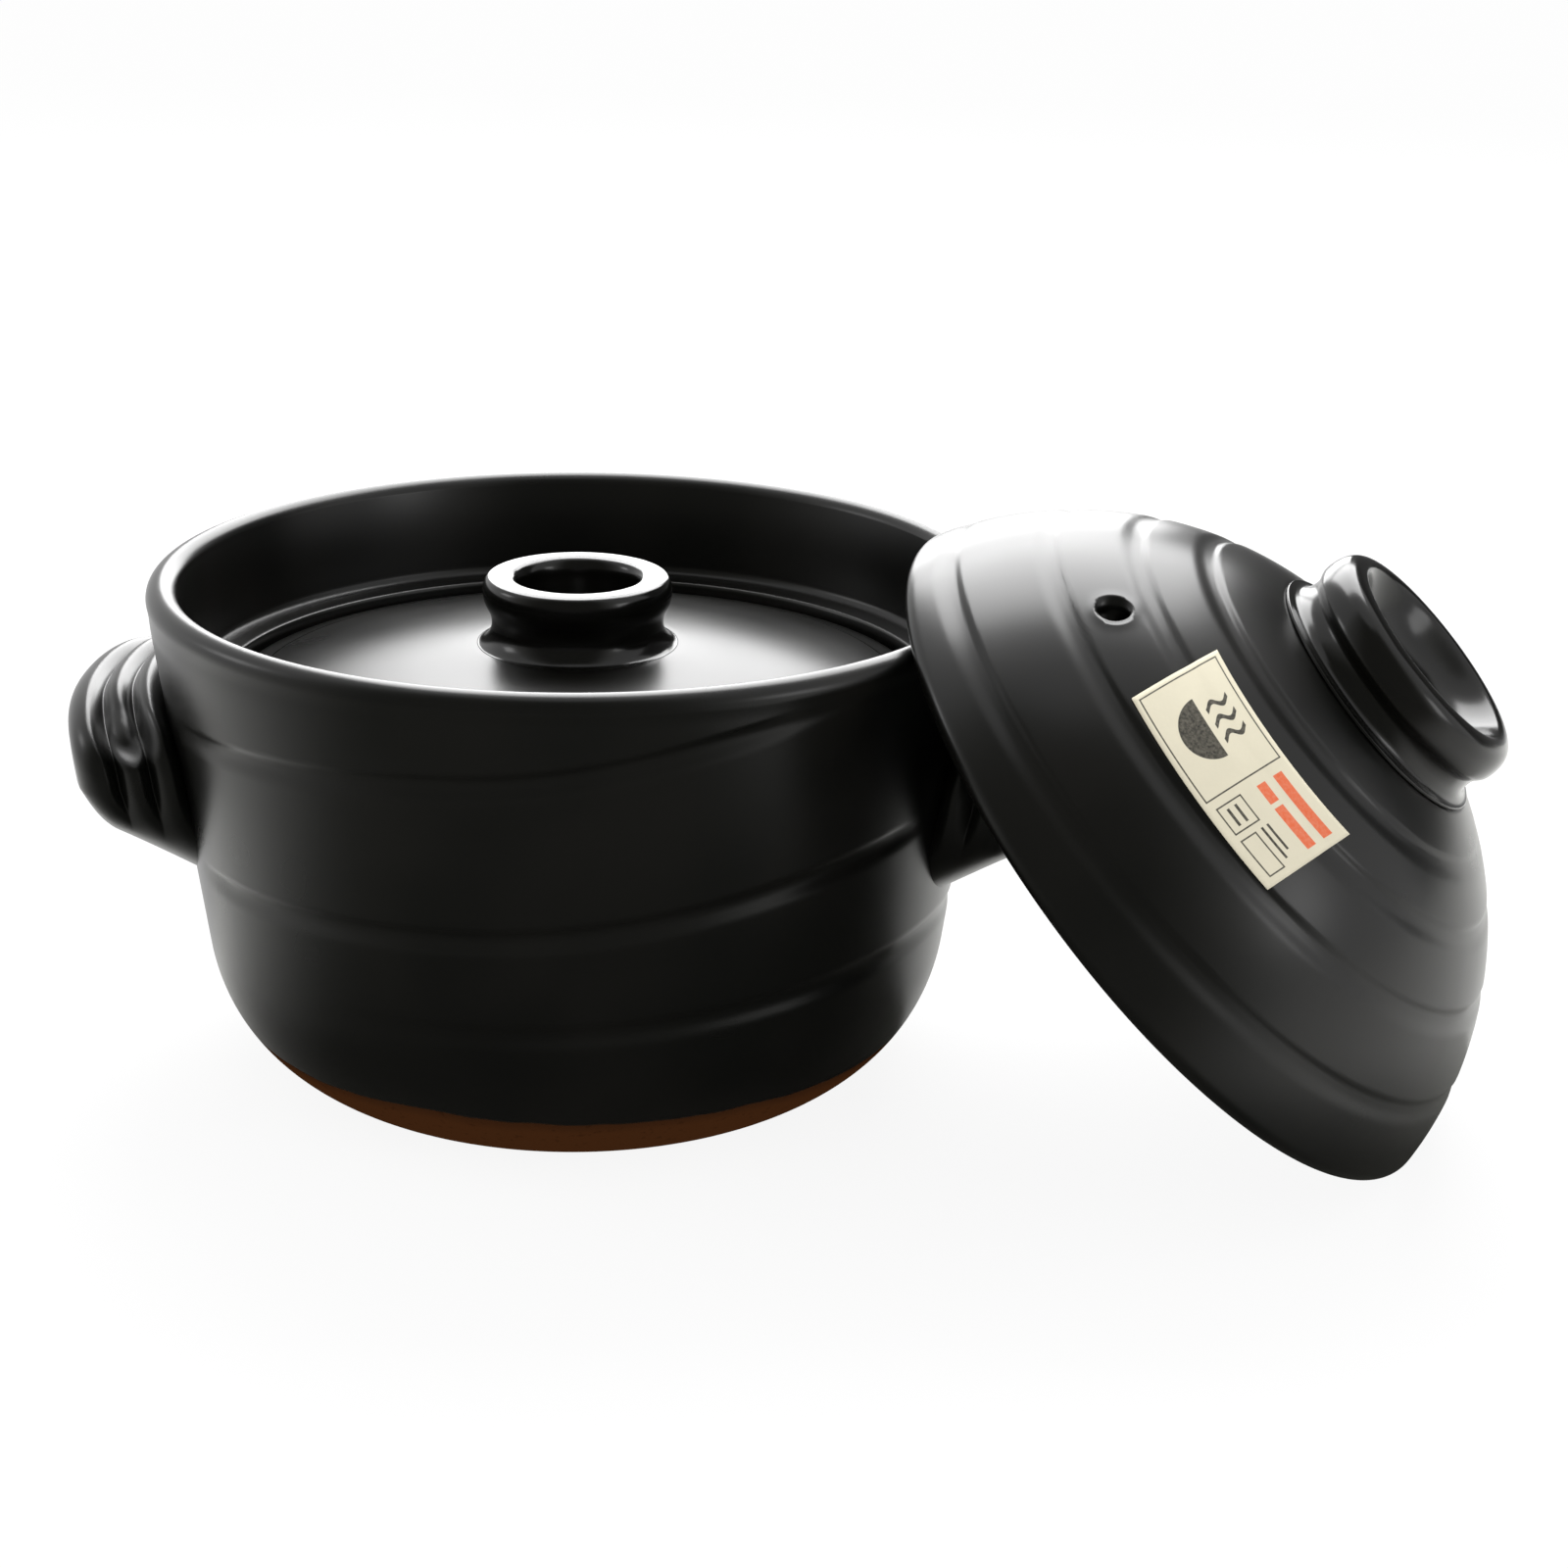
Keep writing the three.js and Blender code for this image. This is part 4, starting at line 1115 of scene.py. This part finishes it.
def make_lamp(name, place, aim, size, power):
    """A rectangular soft lamp that faces a point."""
    data = bpy.data.lights.new(name, "AREA")
    data.shape = "RECTANGLE"
    data.size, data.size_y = size
    data.energy = power
    lamp = put_object(name, data)
    lamp.location = place
    lamp.rotation_euler = (Vector(aim) - Vector(place)).to_track_quat("-Z", "Y").to_euler()
    lamp.visible_camera = False


def make_camera(studio):
    """A camera at the eye, turned by its heading, dipped below level and tipped by its roll."""
    data = bpy.data.cameras.new("photographer")
    data.lens = studio.lens
    data.sensor_width = SENSOR_WIDTH
    camera = put_object("photographer", data)
    heading = Matrix.Rotation(studio.heading, 4, "Z")
    dip = Matrix.Rotation(math.pi / 2 - studio.dip, 4, "X")
    roll = Matrix.Rotation(studio.roll, 4, "Z")
    camera.matrix_world = Matrix.Translation(Vector(studio.eye)) @ heading @ dip @ roll
    bpy.context.scene.camera = camera


def make_floor(studio):
    """A round table top: rings of points from the middle out to the horizon."""
    azimuth = np.linspace(0, TURN, FLOOR_COLUMNS, endpoint=False)
    points = swept(FLOOR_RINGS[:, None], azimuth, FLOOR_HEIGHT)
    faces = [part[:, ::-1] for part in grid_faces(numbered(points))]
    floor = put_object("floor", new_mesh("floor", points, faces, floor_material(studio))[0])


def cloth_shader(recipe, shade):
    """Cloth without shine."""
    return recipe.coat({"Base Color": shade, "Roughness": CLOTH_ROUGHNESS, "Specular IOR Level": 0.0})


def cloth_material():
    """Dark cloth in front of the pot that pales towards its two ends."""
    material, recipe = new_recipe("dark_cloth")
    where = recipe.place()
    ahead, aside = recipe.axis(where, 0), recipe.axis(where, 1)
    left_turn = (aside * -1).math("ARCTAN2", ahead * -1)
    far = (ahead * ahead + aside * aside).math("SQRT").above(*CLOTH_NEAR)
    left = 1 - left_turn.above(*CLOTH_LEFT)
    right = left_turn.above(*CLOTH_RIGHT) * far
    pale = (left + right).math("MINIMUM", 1.0)
    dark = recipe.mix(recipe.noise(where, *CLOTH_WEAVE), *CLOTH_DARK)
    recipe.close(cloth_shader(recipe, recipe.mix(pale, dark, CLOTH_PALE)))
    return material


def screen_material():
    """Dark screen behind the leaning lid."""
    material, recipe = new_recipe("dark_screen")
    shade = recipe.mix(recipe.noise(recipe.place(), *SCREEN_WEAVE), *SCREEN_DARK)
    recipe.close(cloth_shader(recipe, shade))
    return material


def make_cloth(name, outline, span, material):
    """A cloth that only the glaze mirrors: an outline carried through part of a turn."""
    radius, height = np.array(outline).T[:, :, None]
    points = swept(radius, np.radians(np.linspace(*span, CLOTH_COLUMNS)), height)
    grid = np.arange(len(outline) * CLOTH_COLUMNS).reshape(-1, CLOTH_COLUMNS)
    faces = np.stack([grid[:-1, :-1], grid[1:, :-1], grid[1:, 1:], grid[:-1, 1:]], axis=-1).reshape(-1, 4)
    cloth = put_object(name, new_mesh(name, points, [faces], material)[0])
    cloth.visible_camera = False
    cloth.visible_diffuse = False
    cloth.visible_shadow = False


def make_cloths():
    """A dark cloth and hood round the photographer and a dark screen behind the leaning lid."""
    dark = cloth_material()
    for cloth in CLOTHS:
        make_cloth(*cloth, dark)
    make_cloth(*SCREEN, screen_material())


class RICEPOT_OT_pot(bpy.types.Operator):
    """Build the pot with its throwing groove and bare clay foot"""

    bl_idname = "ricepot.pot"
    bl_label = "Pot"

    def execute(self, context):
        scene = context.scene
        make_pot(scene.ricepot_pot, scene.ricepot_ears, pot_material(scene.ricepot_finish))
        return {"FINISHED"}


class RICEPOT_OT_ears(bpy.types.Operator):
    """Build the two hand-pressed ears"""

    bl_idname = "ricepot.ears"
    bl_label = "Ears"

    def execute(self, context):
        scene = context.scene
        glaze = satin_glaze(scene.ricepot_finish)
        for name, facing in (("handle_left", math.pi), ("handle_right", 0.0)):
            make_ear(name, facing, scene.ricepot_pot, scene.ricepot_ears, glaze)
        return {"FINISHED"}


class RICEPOT_OT_inner_lid(bpy.types.Operator):
    """Build the inner lid and its ring knob"""

    bl_idname = "ricepot.inner_lid"
    bl_label = "Inner Lid"

    def execute(self, context):
        scene = context.scene
        glaze = satin_glaze(scene.ricepot_finish)
        make_inner_lid(scene.ricepot_pot, scene.ricepot_inner, glaze)
        make_inner_knob(scene.ricepot_pot, scene.ricepot_inner, knob_glaze(scene.ricepot_finish))
        return {"FINISHED"}


class RICEPOT_OT_outer_lid(bpy.types.Operator):
    """Build the leaning outer lid, its knob and its paper label"""

    bl_idname = "ricepot.outer_lid"
    bl_label = "Outer Lid"

    def execute(self, context):
        scene = context.scene
        pot, lid = scene.ricepot_pot, scene.ricepot_outer
        place = lid_place(lid, lid_radius(pot, lid))
        glaze = satin_glaze(scene.ricepot_finish)
        make_outer_lid(pot, lid, place, glaze)
        make_outer_knob(lid, place, knob_glaze(scene.ricepot_finish))
        make_label(pot, lid, place, paper_material(scene.ricepot_finish, lid))
        return {"FINISHED"}


class RICEPOT_OT_stage(bpy.types.Operator):
    """Set the floor, the lamps, the room and the camera"""

    bl_idname = "ricepot.stage"
    bl_label = "Stage"

    def execute(self, context):
        studio = context.scene.ricepot_studio
        make_camera(studio)
        make_floor(studio)
        make_world()
        make_cloths()
        for lamp in LAMPS:
            make_lamp(*lamp)
        context.scene.view_settings.view_transform = "Standard"
        return {"FINISHED"}


class RICEPOT_PT_panel(bpy.types.Panel):
    """Lists the pieces of the rice pot and their sizes"""

    bl_label = "Rice Pot"
    bl_idname = "RICEPOT_PT_panel"
    bl_space_type = "VIEW_3D"
    bl_region_type = "UI"
    bl_category = "Rice Pot"

    def draw(self, context):
        for operator in OPERATORS:
            self.layout.operator(operator.bl_idname)
        for name, group in GROUPS.items():
            box = self.layout.box()
            box.label(text=group.__doc__)
            for key in group.__annotations__:
                box.prop(getattr(context.scene, name), key, text=key.replace("_", " ").capitalize())


GROUPS = {
    "ricepot_pot": PotSizes,
    "ricepot_ears": EarSizes,
    "ricepot_inner": InnerLidSizes,
    "ricepot_outer": OuterLidSizes,
    "ricepot_finish": Finish,
    "ricepot_studio": Studio,
}
OPERATORS = (
    RICEPOT_OT_pot,
    RICEPOT_OT_ears,
    RICEPOT_OT_inner_lid,
    RICEPOT_OT_outer_lid,
    RICEPOT_OT_stage,
)


def register():
    """Registers the classes and hangs the property groups on the scene."""
    for item in (*GROUPS.values(), *OPERATORS, RICEPOT_PT_panel):
        bpy.utils.register_class(item)
    for name, group in GROUPS.items():
        setattr(bpy.types.Scene, name, bpy.props.PointerProperty(type=group))


def unregister():
    """Takes the property groups and classes away again."""
    for name in GROUPS:
        delattr(bpy.types.Scene, name)
    for item in reversed((*GROUPS.values(), *OPERATORS, RICEPOT_PT_panel)):
        bpy.utils.unregister_class(item)


def main():
    """Builds every piece and the stage."""
    register()
    bpy.ops.ricepot.pot()
    bpy.ops.ricepot.ears()
    bpy.ops.ricepot.inner_lid()
    bpy.ops.ricepot.outer_lid()
    bpy.ops.ricepot.stage()


if __name__ == "__main__":
    main()
